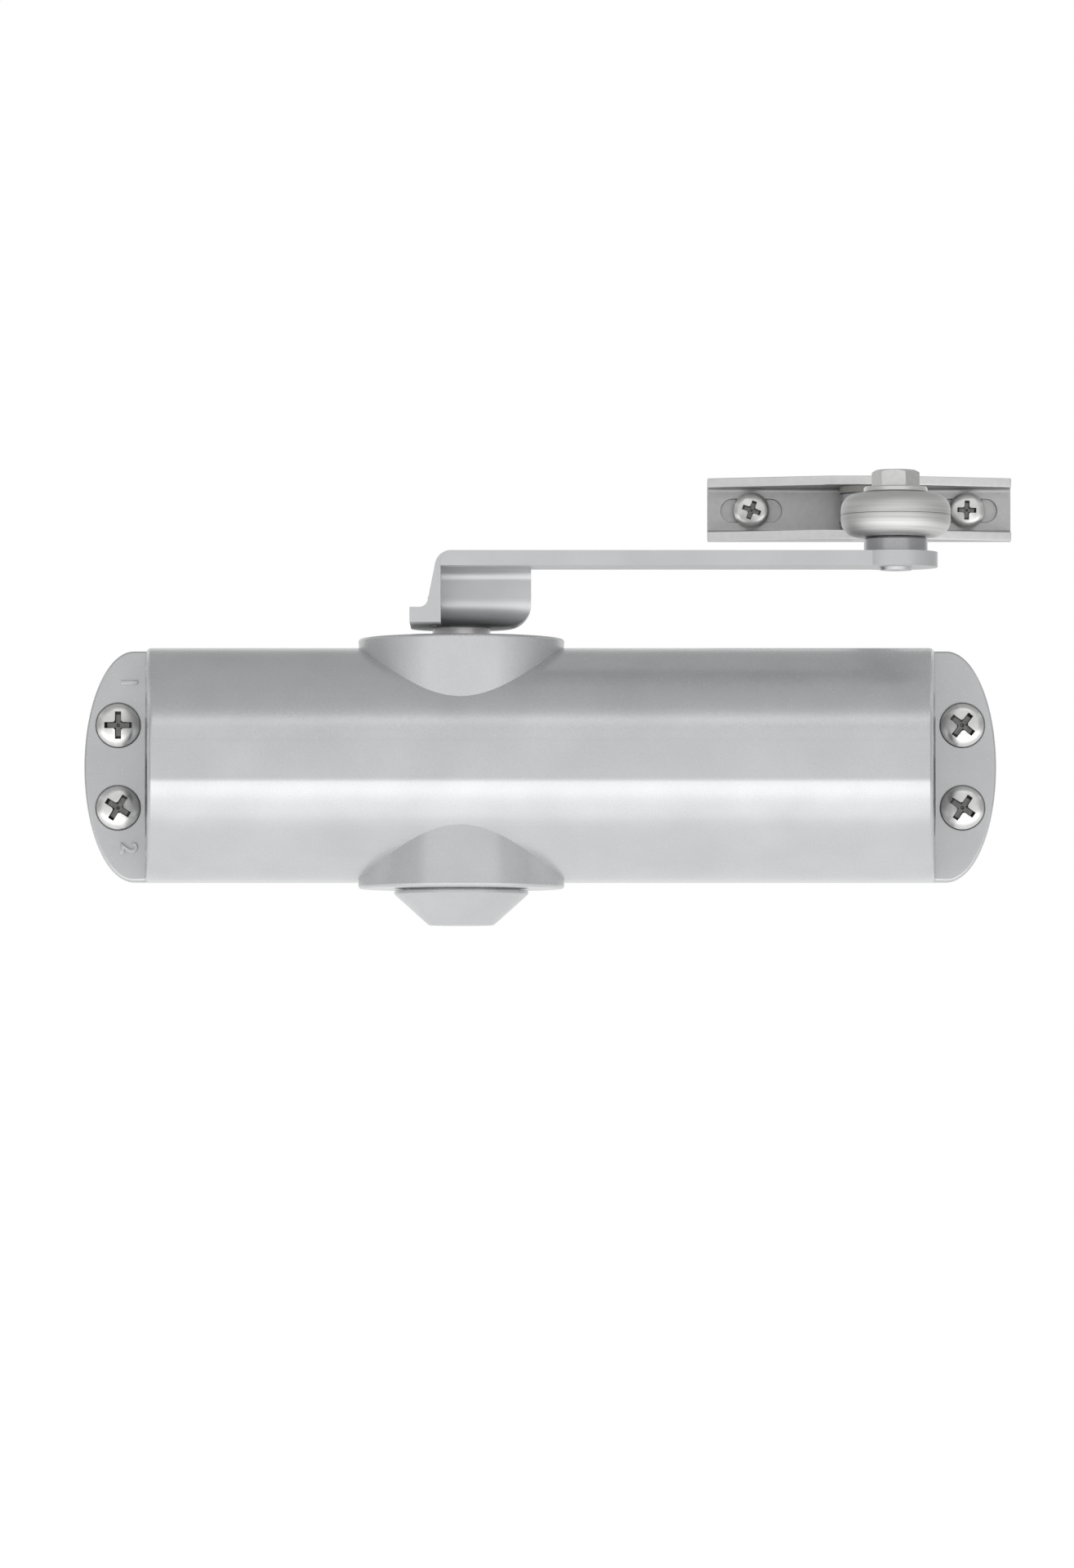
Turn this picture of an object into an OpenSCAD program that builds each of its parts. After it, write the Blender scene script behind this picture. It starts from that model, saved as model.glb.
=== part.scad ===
// Overhead door closer: a cast housing with a rack-and-pinion piston, a cranked main arm, a forearm of
// adjustable length and a frame bracket. X runs along the door, Y points towards the door and Z is up.
// The origin lies on the door's face, in the middle of the four housing screws.

/* [Housing] */
// Length of the housing without its ears
body_len = 191.5; // [185:0.5:215]
// Radius of the housing's round section, half its height
body_r = 28; // [27.5:0.5:30]
// Height of the flat band along the housing's front
facet_h = 9.1; // [4:0.1:14]
// Distance from the door to the bore's axis
axis_depth = 19.5; // [19:0.5:23]
// Draft of the housing's ends, which lean in from the ears to the front
end_draft = 3.7; // [0:0.1:5]
// Reach of each ear past the housing's end
ear_reach = 14.75; // [14:0.25:18]
// Length of each ear's curved end
ear_curve = 12; // [9:0.5:13.5]
// Thickness of the ears
ear_t = 7; // [6:0.5:9]
// Distance of the ear screws from the housing's end
ear_screw_x = 6.5; // [6:0.1:8]
// Screw spacing up the ears
screw_pitch_z = 20; // [18:0.5:26]
// Depth of the round recess around each screw head
screw_recess = 1.2; // [0.5:0.1:2]

/* [Pinion boss] */
// Place of the pinion's axis along the housing
boss_x = -19; // [-24:0.5:-12]
// Radius of the boss at its rims
boss_r = 24.8; // [24:0.1:27]
// Radius of the boss at the bore's axis
boss_waist_r = 22; // [20:0.1:23.5]
// Height of the upper rim over the housing
boss_top = 2.2; // [1:0.1:4]
// Depth of the lower rim under the housing
boss_bottom = 2; // [1:0.1:4]
// Chamfer of both rims
boss_chamfer = 0.8; // [0.2:0.1:1]

/* [Piston] */
// Radius of the piston's bore
bore_r = 16.5; // [16:0.25:16.75]
// Gap between the piston and the left plug while the door is shut
rest_gap = 1.4; // [0.5:0.1:4]
// Thickness of the piston's spring-side head
right_head = 16.5; // [12:0.5:20]
// Radius of the return valve in the piston's left head
check_r = 4; // [3:0.25:5]
// Length of the return valve
check_len = 9; // [7:0.5:12]

/* [Rack and pinion] */
// Gear module
gear_module = 1.5; // [1.45:0.01:1.52]
// Number of pinion teeth
pinion_teeth = 11; // [10:1:11]
// Pressure angle
pressure_angle = 25; // [24:0.5:27]
// Height of the toothed part of the pinion
pinion_h = 18; // [14:0.5:24]
// Turn of the pinion from shut to fully open
opening_angle = 170; // [150:5:175]
// Radius of the pinion's journals
journal_r = 7; // [6.75:0.05:7.2]
// Width across the flats of the pinion's square ends
square_af = 10; // [9:0.1:10.5]

/* [Bearings and seals] */
// Outer radius of the needle bearings
bearing_r = 10; // [9.9:0.05:10.5]
// Length of the needle bearings
bearing_len = 9; // [7:0.5:9]
// Outer radius of the threaded glands
gland_r = 13; // [12.5:0.1:14]
// Height of the threaded glands
gland_h = 4.2; // [3.8:0.1:4.2]
// Thickness of the lip over each seal
gland_lip = 1; // [0.6:0.1:1.5]
// Radius of the end plugs' seats
plug_r = 17.5; // [17.3:0.1:17.8]
// Length of the end plugs
plug_len = 13.5; // [12:0.5:16]
// Radius of the plug O-rings' section
oring_r = 1.2; // [0.9:0.1:1.4]

/* [Return spring] */
// Radius of the spring wire
wire_r = 2.2; // [1.6:0.1:2.4]
// Mean radius of the coils
coil_r = 12.6; // [12:0.1:13.2]
// Number of coils
coils = 8; // [6:0.5:9]

/* [Speed valves] */
// Radius of the valve screws' bores
valve_r = 3; // [2.5:0.1:3.2]
// Depth of the valves' centres under the housing's round skin
valve_depth = 5.7; // [5:0.1:6]
// Length of the valve screws
valve_len = 20; // [17:0.5:24]

/* [Bottom cap] */
// Radius of the cap's rim
cap_r = 16.1; // [15:0.1:18]
// Radius of the cap's flat end
cap_tip_r = 7.8; // [7:0.1:9]
// Height of the cap
cap_h = 8.8; // [8.4:0.1:11]

/* [Main arm] */
// Thickness of the arm
arm_t = 3.6; // [3.2:0.1:5]
// Gap between the boss and the arm's foot
foot_gap = 2.5; // [1:0.1:3]
// Radius of the foot around the pinion
foot_r = 12.1; // [12:0.1:14.5]
// Rise from the foot to the bar
crank_rise = 13.5; // [13:0.1:18]
// Inside radius of the two bends
bend_r = 3; // [1.5:0.1:3.5]
// Width of the upright web
web_w = 22.6; // [22:0.1:28]
// How far the web's left edge lies inside the foot's
web_inset = 6.3; // [4:0.1:8]
// How far the web's left edge leans out on its way down to the foot
wall_lean = 1.9; // [0:0.1:3]
// Width of the bar
bar_w = 16.2; // [14:0.1:18]
// Distance from the pinion to the elbow, along the bar
arm_reach = 103.8; // [95:0.1:130]
// Radius of the bar's eye
eye_r = 10; // [9:0.1:11]

/* [Elbow] */
// Radius of the pivot's journal
pivot_r = 5; // [4.5:0.1:5.5]
// Radius of the pivot's shoulder and of the washer
shoulder_r = 7.6; // [7:0.1:8.5]
// Height of the pivot's shoulder
shoulder_h = 3.5; // [2:0.1:5]
// Radius of the riveted end under the bar
rivet_r = 4.1; // [3.5:0.1:4.4]
// Wall of the elbow bush
bush_wall = 1; // [0.8:0.1:1.5]
// Radius of the knuckle
knuckle_r = 13.1; // [12:0.1:15]
// Height of the knuckle
knuckle_h = 10.4; // [10.2:0.1:14]
// Radius of the knuckle's rounded edges
knuckle_round = 4; // [2.5:0.1:4.5]
// Thickness of the elbow washer
washer_t = 1.4; // [1:0.1:2]
// Width across the flats of the hexagon heads
hex_af = 10; // [10:0.1:10.5]
// Height of the hexagon heads
hex_h = 4; // [3:0.1:5]
// Radius of the hexagon screws' shanks
shank_r = 3; // [2.5:0.1:3.2]

/* [Forearm] */
// Level distance from the elbow to the bracket's pin
forearm_run = 217.5; // [200:0.5:260]
// Rise from the knuckle to the bracket's pin
forearm_rise = 17.6; // [15.5:0.1:24]
// Radius of the outer tube
tube_r = 5.2; // [4.8:0.1:5.4]
// Length of the outer tube
tube_len = 108; // [100:1:120]
// Radius of the inner rod
rod_r = 3.5; // [3:0.1:3.7]
// Travel of the rod out of and into the tube
adjust_travel = 20; // [10:1:25]
// Length of rod that stays in the tube at full reach
rod_hold = 42; // [30:1:48]
// Radius of the clamp screw in the tube
grub_r = 2; // [1.5:0.1:2.5]

/* [Frame bracket] */
// Length of the bracket
shoe_len = 80.6; // [76:0.1:90]
// Height of the bracket
shoe_h = 16.7; // [16:0.1:20]
// Thickness of the bracket's walls
shoe_t = 2.4; // [2:0.1:2.8]
// Depth of the side walls at the bracket's ends
lip_end = 3.6; // [2:0.1:6]
// Depth of the side walls around the pin
lip_mid = 13; // [12:0.1:16]
// Half the length of the deep part of the side walls
lug_half = 9; // [7:0.1:12]
// Distance from the bracket's plate to the pin
pin_back = 7.2; // [7:0.1:8]
// Radius of the bracket's pin
pin_r = 3; // [2.5:0.1:3.2]
// Radius of the rod's eye
rod_eye_r = 5.6; // [5.4:0.1:6.2]
// Height of the rod's eye
rod_eye_h = 8; // [7.5:0.1:9]
// Spacing of the two slots
slot_pitch = 57.2; // [54:0.1:60]
// Length of each slot
slot_len = 16.2; // [10:0.1:18]
// Width of each slot
slot_w = 6.3; // [5.5:0.1:7]
// Thickness of the floor left in each slot
slot_floor = 1.1; // [0.6:0.1:1.6]

/* [Screws] */
// Head radius of the housing screws
body_head_r = 5.4; // [5:0.1:5.6]
// Head height of the housing screws
body_head_h = 3; // [2.4:0.1:3.4]
// Thread radius of the housing screws
body_shank_r = 2.4; // [2:0.1:2.5]
// Length of the housing screws past the door's face
body_screw_len = 20; // [14:1:30]
// Radius of the arm screw's washer
arm_washer_r = 8; // [7:0.1:9]
// Thickness of the arm screw's washer
arm_washer_t = 1.5; // [1:0.1:2]
// Length of the arm screw under its head
arm_screw_len = 13; // [10:0.5:15]
// Length of the elbow bolt under its head
elbow_bolt_len = 9; // [7:0.5:12]
// Head radius of the bracket screws
shoe_head_r = 4.8; // [4.4:0.1:5.4]
// Head height of the bracket screws
shoe_head_h = 2.6; // [2:0.1:3]
// Thread radius of the bracket screws
shoe_shank_r = 2.1; // [1.8:0.1:2.4]
// Length of the bracket screws past the frame's face
shoe_screw_len = 18; // [12:1:25]

/* [Fits] */
// Radial clearance of what turns or slides
run_gap = 0.05; // [0.02:0.01:0.08]
// Clearance of what is fixed in its seat
seat_gap = 0.02; // [0.01:0.01:0.05]
// Axial gap between pieces that turn on each other
side_gap = 0.15; // [0.1:0.05:0.25]

/* [Hidden] */
$fn = 96;
eps = 0.01;
far = 400;

// Housing levels
end_x = body_len / 2;
facet_depth = sqrt(body_r * body_r - facet_h * facet_h / 4);
boss_z_top = body_r + boss_top;
boss_z_bottom = body_r + boss_bottom;
ear_x = end_x + ear_reach - ear_curve;
ear_root = 5;
screw_pitch_x = body_len + 2 * ear_screw_x;
end_sink = 0.5;
plug_recess = end_sink + (axis_depth + plug_r - ear_t) * tan(end_draft);
plug_face_x = end_x - plug_recess - plug_len;
groove_x = plug_len * 0.4;
groove_play = 0.1;
socket_af = 12;
socket_depth = 6;
shank_play = 0.3;
head_play = 0.5;
neck_cut = 0.3;

// Gear sizes
pitch_r = gear_module * pinion_teeth / 2;
base_r = pitch_r * cos(pressure_angle);
addendum = 0.9 * gear_module;
dedendum = 1.2 * gear_module;
tip_r = pitch_r + addendum;
tooth_pitch = PI * gear_module;
backlash = 0.16;
travel = pitch_r * opening_angle * PI / 180;

// Piston, with its slot around the pinion while the door is shut
slot_spare = 0.8;
rack_inset = 0.7;
slot_x0 = boss_x - tip_r - travel - slot_spare;
slot_x1 = boss_x + tip_r + slot_spare;
piston_r = bore_r - run_gap;
piston_x0 = -plug_face_x + rest_gap;
piston_x1 = slot_x1 + right_head;
spigot_r = coil_r - wire_r - 0.8;
spigot_h = 3;
ring_w = 3;
ring_depth = 1.5;
ring_x = piston_x1 - (right_head + ring_w) / 2;

// Return valve in the piston's head, with its ball on a narrower passage
ball_r = check_r * 0.5;
passage_r = check_r * 0.3;
chamber_r = check_r * 0.6;
chamber_x = check_len * 0.4;

// Return spring, between the piston and the right plug
spring_end_gap = 0.1;
spring_x0 = piston_x1 + wire_r + spring_end_gap;
spring_x1 = plug_face_x - wire_r - spring_end_gap;
spring_steps = 20 * coils;
spring_sides = 8;

// Speed valves, sunk under the end face, each with a port to the bore
valve_offset = body_r - valve_depth;
valve_sink = end_sink + (axis_depth + valve_r - ear_t) * tan(end_draft);
valve_cone = 5;
valve_groove_w = 1.6;
valve_land = 0.8;
valve_groove_x = valve_len - valve_sink - valve_cone - valve_groove_w - valve_land;
valve_groove_r = valve_r - 0.9;
port_r = 1.2;
port_x = valve_len + 1.5;

// Pinion levels
square_reach = arm_t - 0.4;
square_corner_r = journal_r - 0.3;
tap_depth = 16;
foot_z = boss_z_top + foot_gap;
cap_wall = 1.5;
lower_square_z = -boss_z_bottom - cap_h + cap_wall + 0.9;
neck_r = pitch_r - addendum - 0.5;
neck_z = bore_r + 0.3;
gland_collar = 2.4;
collar_r = gland_r - 1;
seal_r = bearing_r;
gland_hole_r = journal_r + 0.6;
spanner_hole_r = 1;
spanner_hole_h = 2;

// Arm levels, with the bar in front of the pinion
bar_z = foot_z + crank_rise;
web_back = foot_r - 0.3;
bend_y = bend_r - web_back;
front_y = -web_back - bar_w;
web_x = web_inset - foot_r;
web_corner_r = 5;
wall_fillet = 2;
bar_corner_r = 3;
web_y = -axis_depth - web_back;
bar_y = web_y - bar_w / 2;
elbow_x = boss_x + arm_reach;
knuckle_z = bar_z + arm_t + shoulder_h + side_gap;
knuckle_mid = knuckle_z + knuckle_h / 2;
bush_z = knuckle_h + 2 * side_gap;
washer_z = knuckle_z + knuckle_h + side_gap;
rivet_h = 0.7;
rivet_hole_r = rivet_r - 0.3;
wall_t = 1.1;
fillet_x = web_x - wall_lean - wall_fillet;
washer_play = 0.2;
bush_play = 0.05;

// Forearm line from the knuckle to the bracket's pin
forearm_angle = atan2(forearm_rise, forearm_run);
forearm_len = norm([forearm_run, forearm_rise]);
stub_reach = 4;
stub_len = knuckle_r + stub_reach;
stub_start = shoulder_r + 0.6;
stub_spigot = 12;
rod_start = stub_len + tube_len - adjust_travel - rod_hold;
grub_back = 9;
grub_socket = 1.2;
pin_y = bar_y + forearm_run;
pin_z = knuckle_mid + forearm_rise;
plate_y = pin_y + pin_back;
shoe_gap = (shoe_h - 2 * shoe_t - rod_eye_h) / 2;
eye_bush_wall = 1;
flange_r = rod_eye_r - 0.3;

module at_bore() { translate([0, -axis_depth, 0]) children(); }
module at_pinion() { translate([boss_x, -axis_depth, 0]) children(); }
module at_elbow() { translate([elbow_x, bar_y, 0]) children(); }
module at_pin() { translate([elbow_x, pin_y, pin_z]) children(); }
module along_x() { rotate([0, 90, 0]) children(); }
module along_y() { rotate([-90, 0, 0]) children(); }
module along_forearm() {
    translate([elbow_x, bar_y, knuckle_mid]) rotate([forearm_angle - 90, 0, 0]) children();
}

module ring(r_out, r_in, h) {
    difference() {
        cylinder(r = r_out, h = h);
        translate([0, 0, -eps]) cylinder(r = r_in, h = h + 2 * eps);
    }
}

module hexagon(af, h) { cylinder(r = af / sqrt(3), h = h, $fn = 6); }

// Half-ellipse that closes an ear, from its lower to its upper corner
function ear_outline(steps = 40) = [
    for (i = [0:steps]) let (a = -90 + 180 * i / steps)
        [ear_x + ear_curve * cos(a), body_r * sin(a)]
];

module ear() {
    rotate([90, 0, 0]) linear_extrude(ear_t)
        polygon(concat([[end_x - ear_root, body_r], [end_x - ear_root, -body_r]], ear_outline()));
}

// Round section, its front cut flat, its back filled out to the door and its ends leaning in
module body_block() {
    difference() {
        union() {
            at_bore() difference() {
                translate([-end_x, 0, 0]) along_x() cylinder(r = body_r, h = body_len);
                translate([-far / 2, -facet_depth - far, -far / 2]) cube([far, far, far]);
            }
            translate([-end_x, -axis_depth, -body_r]) cube([body_len, axis_depth, 2 * body_r]);
        }
        for (side = [0, 1]) mirror([side, 0, 0]) translate([end_x, -ear_t, 0]) rotate(-end_draft)
            translate([0, -far, -far / 2]) cube([far, far, far]);
    }
}

module boss_half(height) {
    cylinder(r1 = boss_waist_r, r2 = boss_r, h = height - boss_chamfer);
    translate([0, 0, height - boss_chamfer])
        cylinder(r1 = boss_r, r2 = boss_r - boss_chamfer, h = boss_chamfer);
}

// Seats of the needle bearing and of the gland, from the bore outwards
module pinion_seat(level) {
    cylinder(r = bearing_r + seat_gap, h = level + eps);
    translate([0, 0, level - gland_h]) cylinder(r = gland_r, h = gland_h + eps);
}

module valve_bore(side) {
    at_bore() translate([-end_x, 0, side * valve_offset]) {
        translate([-eps, 0, 0]) along_x() cylinder(r = valve_r, h = port_x + port_r);
        translate([port_x, 0, 0]) rotate([side > 0 ? 180 : 0, 0, 0])
            cylinder(r = port_r, h = valve_offset - bore_r + 1);
    }
}

module screw_places() {
    for (x = [-1, 1], z = [1, -1])
        translate([x * screw_pitch_x / 2, 0, z * screw_pitch_z / 2]) children();
}

module housing() {
    color("silver") difference() {
        union() {
            body_block();
            for (side = [0, 1]) mirror([side, 0, 0]) ear();
            at_pinion() {
                boss_half(boss_z_top);
                mirror([0, 0, 1]) boss_half(boss_z_bottom);
            }
        }
        translate([-far / 2, 0, -far / 2]) cube([far, far, far]);
        at_bore() translate([-end_x - eps, 0, 0]) along_x() cylinder(r = bore_r, h = body_len + 2 * eps);
        for (side = [0, 1]) mirror([side, 0, 0]) at_bore() translate([plug_face_x, 0, 0])
            along_x() cylinder(r = plug_r, h = plug_len + plug_recess + eps);
        at_pinion() {
            pinion_seat(boss_z_top);
            mirror([0, 0, 1]) pinion_seat(boss_z_bottom);
        }
        for (side = [-1, 1]) valve_bore(side);
        screw_places() {
            translate([0, eps, 0]) rotate([90, 0, 0])
                cylinder(r = body_shank_r + shank_play, h = ear_t + 2 * eps);
            translate([0, -ear_t + screw_recess, 0]) rotate([90, 0, 0])
                cylinder(r = body_head_r + head_play, h = screw_recess + eps);
        }
    }
}

// Threaded plug with an O-ring groove and a hexagon socket, and a spigot for the spring if it has one
module end_plug(spigot) {
    at_bore() translate([plug_face_x, 0, 0]) along_x() difference() {
        union() {
            cylinder(r = plug_r - seat_gap, h = plug_len);
            if (spigot > 0) mirror([0, 0, 1]) cylinder(r = spigot_r, h = spigot);
        }
        translate([0, 0, groove_x]) rotate_extrude() translate([plug_r - 2 * oring_r - run_gap, 0])
            square([2 * oring_r + 1, 2 * (oring_r + groove_play)]);
        translate([0, 0, plug_len - socket_depth]) hexagon(socket_af, socket_depth + eps);
    }
}

module plug_oring() {
    at_bore() translate([plug_face_x + groove_x + oring_r + groove_play, 0, 0]) along_x()
        rotate_extrude($fn = 60) translate([plug_r - oring_r - seat_gap, 0])
            circle(r = oring_r, $fn = 24);
}

module left_end_plug() { color("dimgray") mirror([1, 0, 0]) end_plug(0); }
module right_end_plug() { color("dimgray") end_plug(spigot_h); }
module left_plug_oring() { color("black") mirror([1, 0, 0]) plug_oring(); }
module right_plug_oring() { color("black") plug_oring(); }

// Rack teeth stand on the front side of the slot and point at the pinion
function rack_tooth(x) = let (
        half = tooth_pitch / 4 - backlash / 4,
        up = addendum * tan(pressure_angle),
        down = dedendum * tan(pressure_angle)
    ) [
        [x - half - down, -pitch_r - dedendum], [x - half + up, -pitch_r + addendum],
        [x + half - up, -pitch_r + addendum], [x + half + down, -pitch_r - dedendum]
    ];

module rack_slot() {
    // A tooth space faces the pinion's front tooth at rest
    first = ceil((slot_x0 - boss_x) / tooth_pitch + rack_inset - 0.5);
    last = floor((slot_x1 - boss_x) / tooth_pitch - rack_inset - 0.5);
    teeth = [for (i = [last:-1:first]) each [for (k = [3:-1:0])
        rack_tooth(boss_x + (i + 0.5) * tooth_pitch)[k]]];
    back = tip_r + slot_spare;
    polygon(concat([[slot_x0, -pitch_r - dedendum], [slot_x0, back], [slot_x1, back],
        [slot_x1, -pitch_r - dedendum]], teeth));
}

module piston() {
    color("gainsboro") at_bore() difference() {
        union() {
            translate([piston_x0, 0, 0]) along_x() cylinder(r = piston_r, h = piston_x1 - piston_x0);
            translate([piston_x1, 0, 0]) along_x() cylinder(r = spigot_r, h = spigot_h);
        }
        translate([0, 0, -far / 2]) linear_extrude(far) rack_slot();
        translate([piston_x0 - eps, 0, 0]) along_x() cylinder(r = check_r, h = check_len + eps);
        translate([piston_x0, 0, 0]) along_x() cylinder(r = ball_r, h = slot_x0 - piston_x0 + 1);
        translate([ring_x, 0, 0]) along_x() rotate_extrude()
            translate([piston_r - ring_depth, 0]) square([ring_depth + 1, ring_w]);
    }
}

module piston_ring() {
    color("black") at_bore() translate([ring_x + seat_gap, 0, 0]) along_x()
        ring(bore_r - seat_gap, piston_r - ring_depth + seat_gap, ring_w - 2 * seat_gap);
}

module check_valve() {
    color("gold") at_bore() translate([piston_x0, 0, 0]) along_x() difference() {
        cylinder(r = check_r - seat_gap, h = check_len - seat_gap);
        translate([0, 0, -eps]) cylinder(r = passage_r, h = check_len);
        translate([0, 0, chamber_x]) cylinder(r = chamber_r, h = check_len);
    }
}

module check_ball() {
    color("silver") at_bore() translate([piston_x0 + chamber_x + ball_r + seat_gap, 0, 0])
        sphere(r = ball_r, $fn = 32);
}

// One ring of the spring's wire, square to the helix at share t of its length
function helix_ring(t) = let (
        a = 360 * coils * t,
        out = [0, cos(a), sin(a)],
        around = [0, -sin(a), cos(a)],
        tangent = [(spring_x1 - spring_x0) / coils, 0, 0] + 2 * PI * coil_r * around,
        side = cross(tangent / norm(tangent), out),
        middle = [spring_x0 + (spring_x1 - spring_x0) * t, 0, 0] + coil_r * out
    ) [for (k = [0:spring_sides - 1]) let (b = 360 * k / spring_sides)
        middle + wire_r * (cos(b) * out + sin(b) * side)];

module return_spring() {
    n = spring_sides;
    points = [for (i = [0:spring_steps]) each helix_ring(i / spring_steps)];
    walls = [for (i = [0:spring_steps - 1], k = [0:n - 1]) let (m = (k + 1) % n)
        each [[i * n + k, (i + 1) * n + k, (i + 1) * n + m], [i * n + k, (i + 1) * n + m, i * n + m]]];
    start_cap = [for (k = [1:n - 2]) [0, k, k + 1]];
    end_cap = [for (k = [1:n - 2]) spring_steps * n * [1, 1, 1] + [0, k + 1, k]];
    color("slategray") at_bore() polyhedron(points, concat(walls, start_cap, end_cap));
}

// Involute flank point at radius r, as an angle from the tooth's centre line
function flank(r) = let (
        c = max(min(base_r / max(r, base_r), 1), 0),
        inv = tan(acos(c)) * 180 / PI - acos(c),
        inv_pitch = tan(pressure_angle) * 180 / PI - pressure_angle,
        half = 90 / pinion_teeth - backlash / 4 / pitch_r * 180 / PI
    ) half + inv_pitch - inv;
function tooth_side(steps = 7) = [
    for (i = [0:steps]) let (r = base_r + (tip_r - base_r) * i / steps) [r, flank(r)]
];
function polar(r, a) = [r * cos(a), r * sin(a)];

module pinion_profile() {
    root_r = pitch_r - dedendum;
    side = tooth_side();
    last = len(side) - 1;
    polygon([for (i = [0:pinion_teeth - 1]) let (mid = -90 + i * 360 / pinion_teeth) each concat(
        [polar(root_r, mid - side[0][1])],
        [for (p = side) polar(p[0], mid - p[1])],
        [for (k = [last:-1:0]) polar(side[k][0], mid + side[k][1])],
        [polar(root_r, mid + side[0][1])]
    )]);
}

module square_end(h) {
    intersection() {
        translate([-square_af / 2, -square_af / 2, 0]) cube([square_af, square_af, h]);
        cylinder(r = square_corner_r, h = h);
    }
}

module pinion_shaft() {
    color("silver") at_pinion() difference() {
        union() {
            translate([0, 0, -pinion_h / 2]) linear_extrude(pinion_h) pinion_profile();
            translate([0, 0, -neck_z]) cylinder(r = neck_r, h = 2 * neck_z);
            translate([0, 0, neck_z]) cylinder(r = journal_r, h = foot_z - neck_z);
            translate([0, 0, -boss_z_bottom]) cylinder(r = journal_r, h = boss_z_bottom - neck_z);
            translate([0, 0, foot_z]) square_end(square_reach);
            translate([0, 0, lower_square_z]) square_end(-boss_z_bottom - lower_square_z);
        }
        translate([0, 0, foot_z + square_reach - tap_depth]) cylinder(r = shank_r, h = tap_depth + eps);
    }
}

module bearing() { ring(bearing_r, journal_r + run_gap, bearing_len); }
module upper_bearing() {
    color("lightsteelblue") at_pinion() translate([0, 0, boss_z_top - gland_h - bearing_len]) bearing();
}
module lower_bearing() {
    color("lightsteelblue") at_pinion() translate([0, 0, -boss_z_bottom + gland_h]) bearing();
}

// Lipped ring, with a groove on the side that faces the oil
module seal() {
    h = gland_h - gland_lip;
    wall = 0.9;
    difference() {
        ring(seal_r - seat_gap, journal_r + run_gap, h);
        translate([0, 0, -eps]) ring(seal_r - wall, journal_r + wall, h * 0.6);
    }
}
module upper_seal() { color("black") at_pinion() translate([0, 0, boss_z_top - gland_h]) seal(); }
module lower_seal() {
    color("black") at_pinion() mirror([0, 0, 1]) translate([0, 0, boss_z_bottom - gland_h]) seal();
}

module gland(collar) {
    difference() {
        union() {
            cylinder(r = gland_r - seat_gap, h = gland_h);
            if (collar > 0) cylinder(r = collar_r, h = gland_h + collar);
        }
        translate([0, 0, -eps]) cylinder(r = seal_r, h = gland_h - gland_lip + eps);
        cylinder(r = gland_hole_r, h = gland_h + collar + 1);
        for (a = [0, 180]) rotate(a)
            translate([(gland_hole_r + collar_r) / 2, 0, gland_h + collar - spanner_hole_h])
                cylinder(r = spanner_hole_r, h = spanner_hole_h + eps);
    }
}
module upper_gland() { color("gray") at_pinion() translate([0, 0, boss_z_top - gland_h]) gland(0); }
module lower_gland() {
    color("gray") at_pinion() mirror([0, 0, 1]) translate([0, 0, boss_z_bottom - gland_h])
        gland(gland_collar);
}

module bottom_cap() {
    seat = 0.4;
    seat_w = 1.4;
    rim = 1;
    inner_r = collar_r + seat_gap;
    inner_tip_r = cap_tip_r - seat;
    color("silver") at_pinion() translate([0, 0, -boss_z_bottom]) mirror([0, 0, 1]) rotate_extrude()
        polygon([
            [inner_r, 0], [inner_r + seat_w, 0], [inner_r + seat_w, seat], [cap_r, seat],
            [cap_r, seat + rim], [cap_tip_r, cap_h], [0, cap_h], [0, cap_h - cap_wall],
            [inner_tip_r, cap_h - cap_wall], [inner_r, gland_collar + side_gap]
        ]);
}

module at_valve(side) {
    at_bore() translate([-end_x + valve_sink, 0, side * valve_offset]) along_x() children();
}

// Slotted screw with a tapered end and an O-ring groove
module valve_screw(side) {
    slot = 1;
    slot_depth = 1.4;
    cylinder_len = valve_len - valve_sink - valve_cone;
    at_valve(side) difference() {
        union() {
            cylinder(r = valve_r - run_gap, h = cylinder_len);
            translate([0, 0, cylinder_len]) cylinder(r1 = valve_r - run_gap, r2 = 0.8, h = valve_cone);
        }
        translate([-slot / 2, -valve_r, -eps]) cube([slot, 2 * valve_r, slot_depth]);
        translate([0, 0, valve_groove_x]) ring(valve_r + 1, valve_groove_r, valve_groove_w);
    }
}
module closing_valve() { color("gold") valve_screw(1); }
module latching_valve() { color("gold") valve_screw(-1); }
module valve_orings() {
    section = (valve_r - valve_groove_r) / 2;
    color("black") for (side = [1, -1]) at_valve(side) translate([0, 0, valve_groove_x + valve_groove_w / 2])
        rotate_extrude($fn = 32) translate([valve_groove_r + section, 0])
            circle(r = section - seat_gap, $fn = 16);
}

// Pan-head screw with a cross recess, its head's seat at zero, a plain neck and its thread along Z
module pan_screw(head_r, head_h, shank, neck, length, turn) {
    dome_r = (head_r * head_r + head_h * head_h) / (2 * head_h);
    cross_len = head_r * 0.9;
    cross_w = head_r * 0.24;
    cross_depth = head_h * 0.6;
    tip = 2 * shank;
    difference() {
        union() {
            cylinder(r = shank - neck_cut, h = neck + eps);
            translate([0, 0, neck]) cylinder(r = shank, h = length - neck - tip);
            translate([0, 0, length - tip]) cylinder(r1 = shank, r2 = 0.3, h = tip);
            intersection() {
                translate([0, 0, dome_r - head_h]) sphere(r = dome_r);
                translate([0, 0, -head_h]) cylinder(r = head_r, h = head_h);
            }
        }
        rotate(turn) for (a = [0, 90]) rotate(a)
            translate([-cross_len / 2, -cross_w / 2, -head_h - 1])
                cube([cross_len, cross_w, cross_depth + 1]);
    }
}

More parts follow.
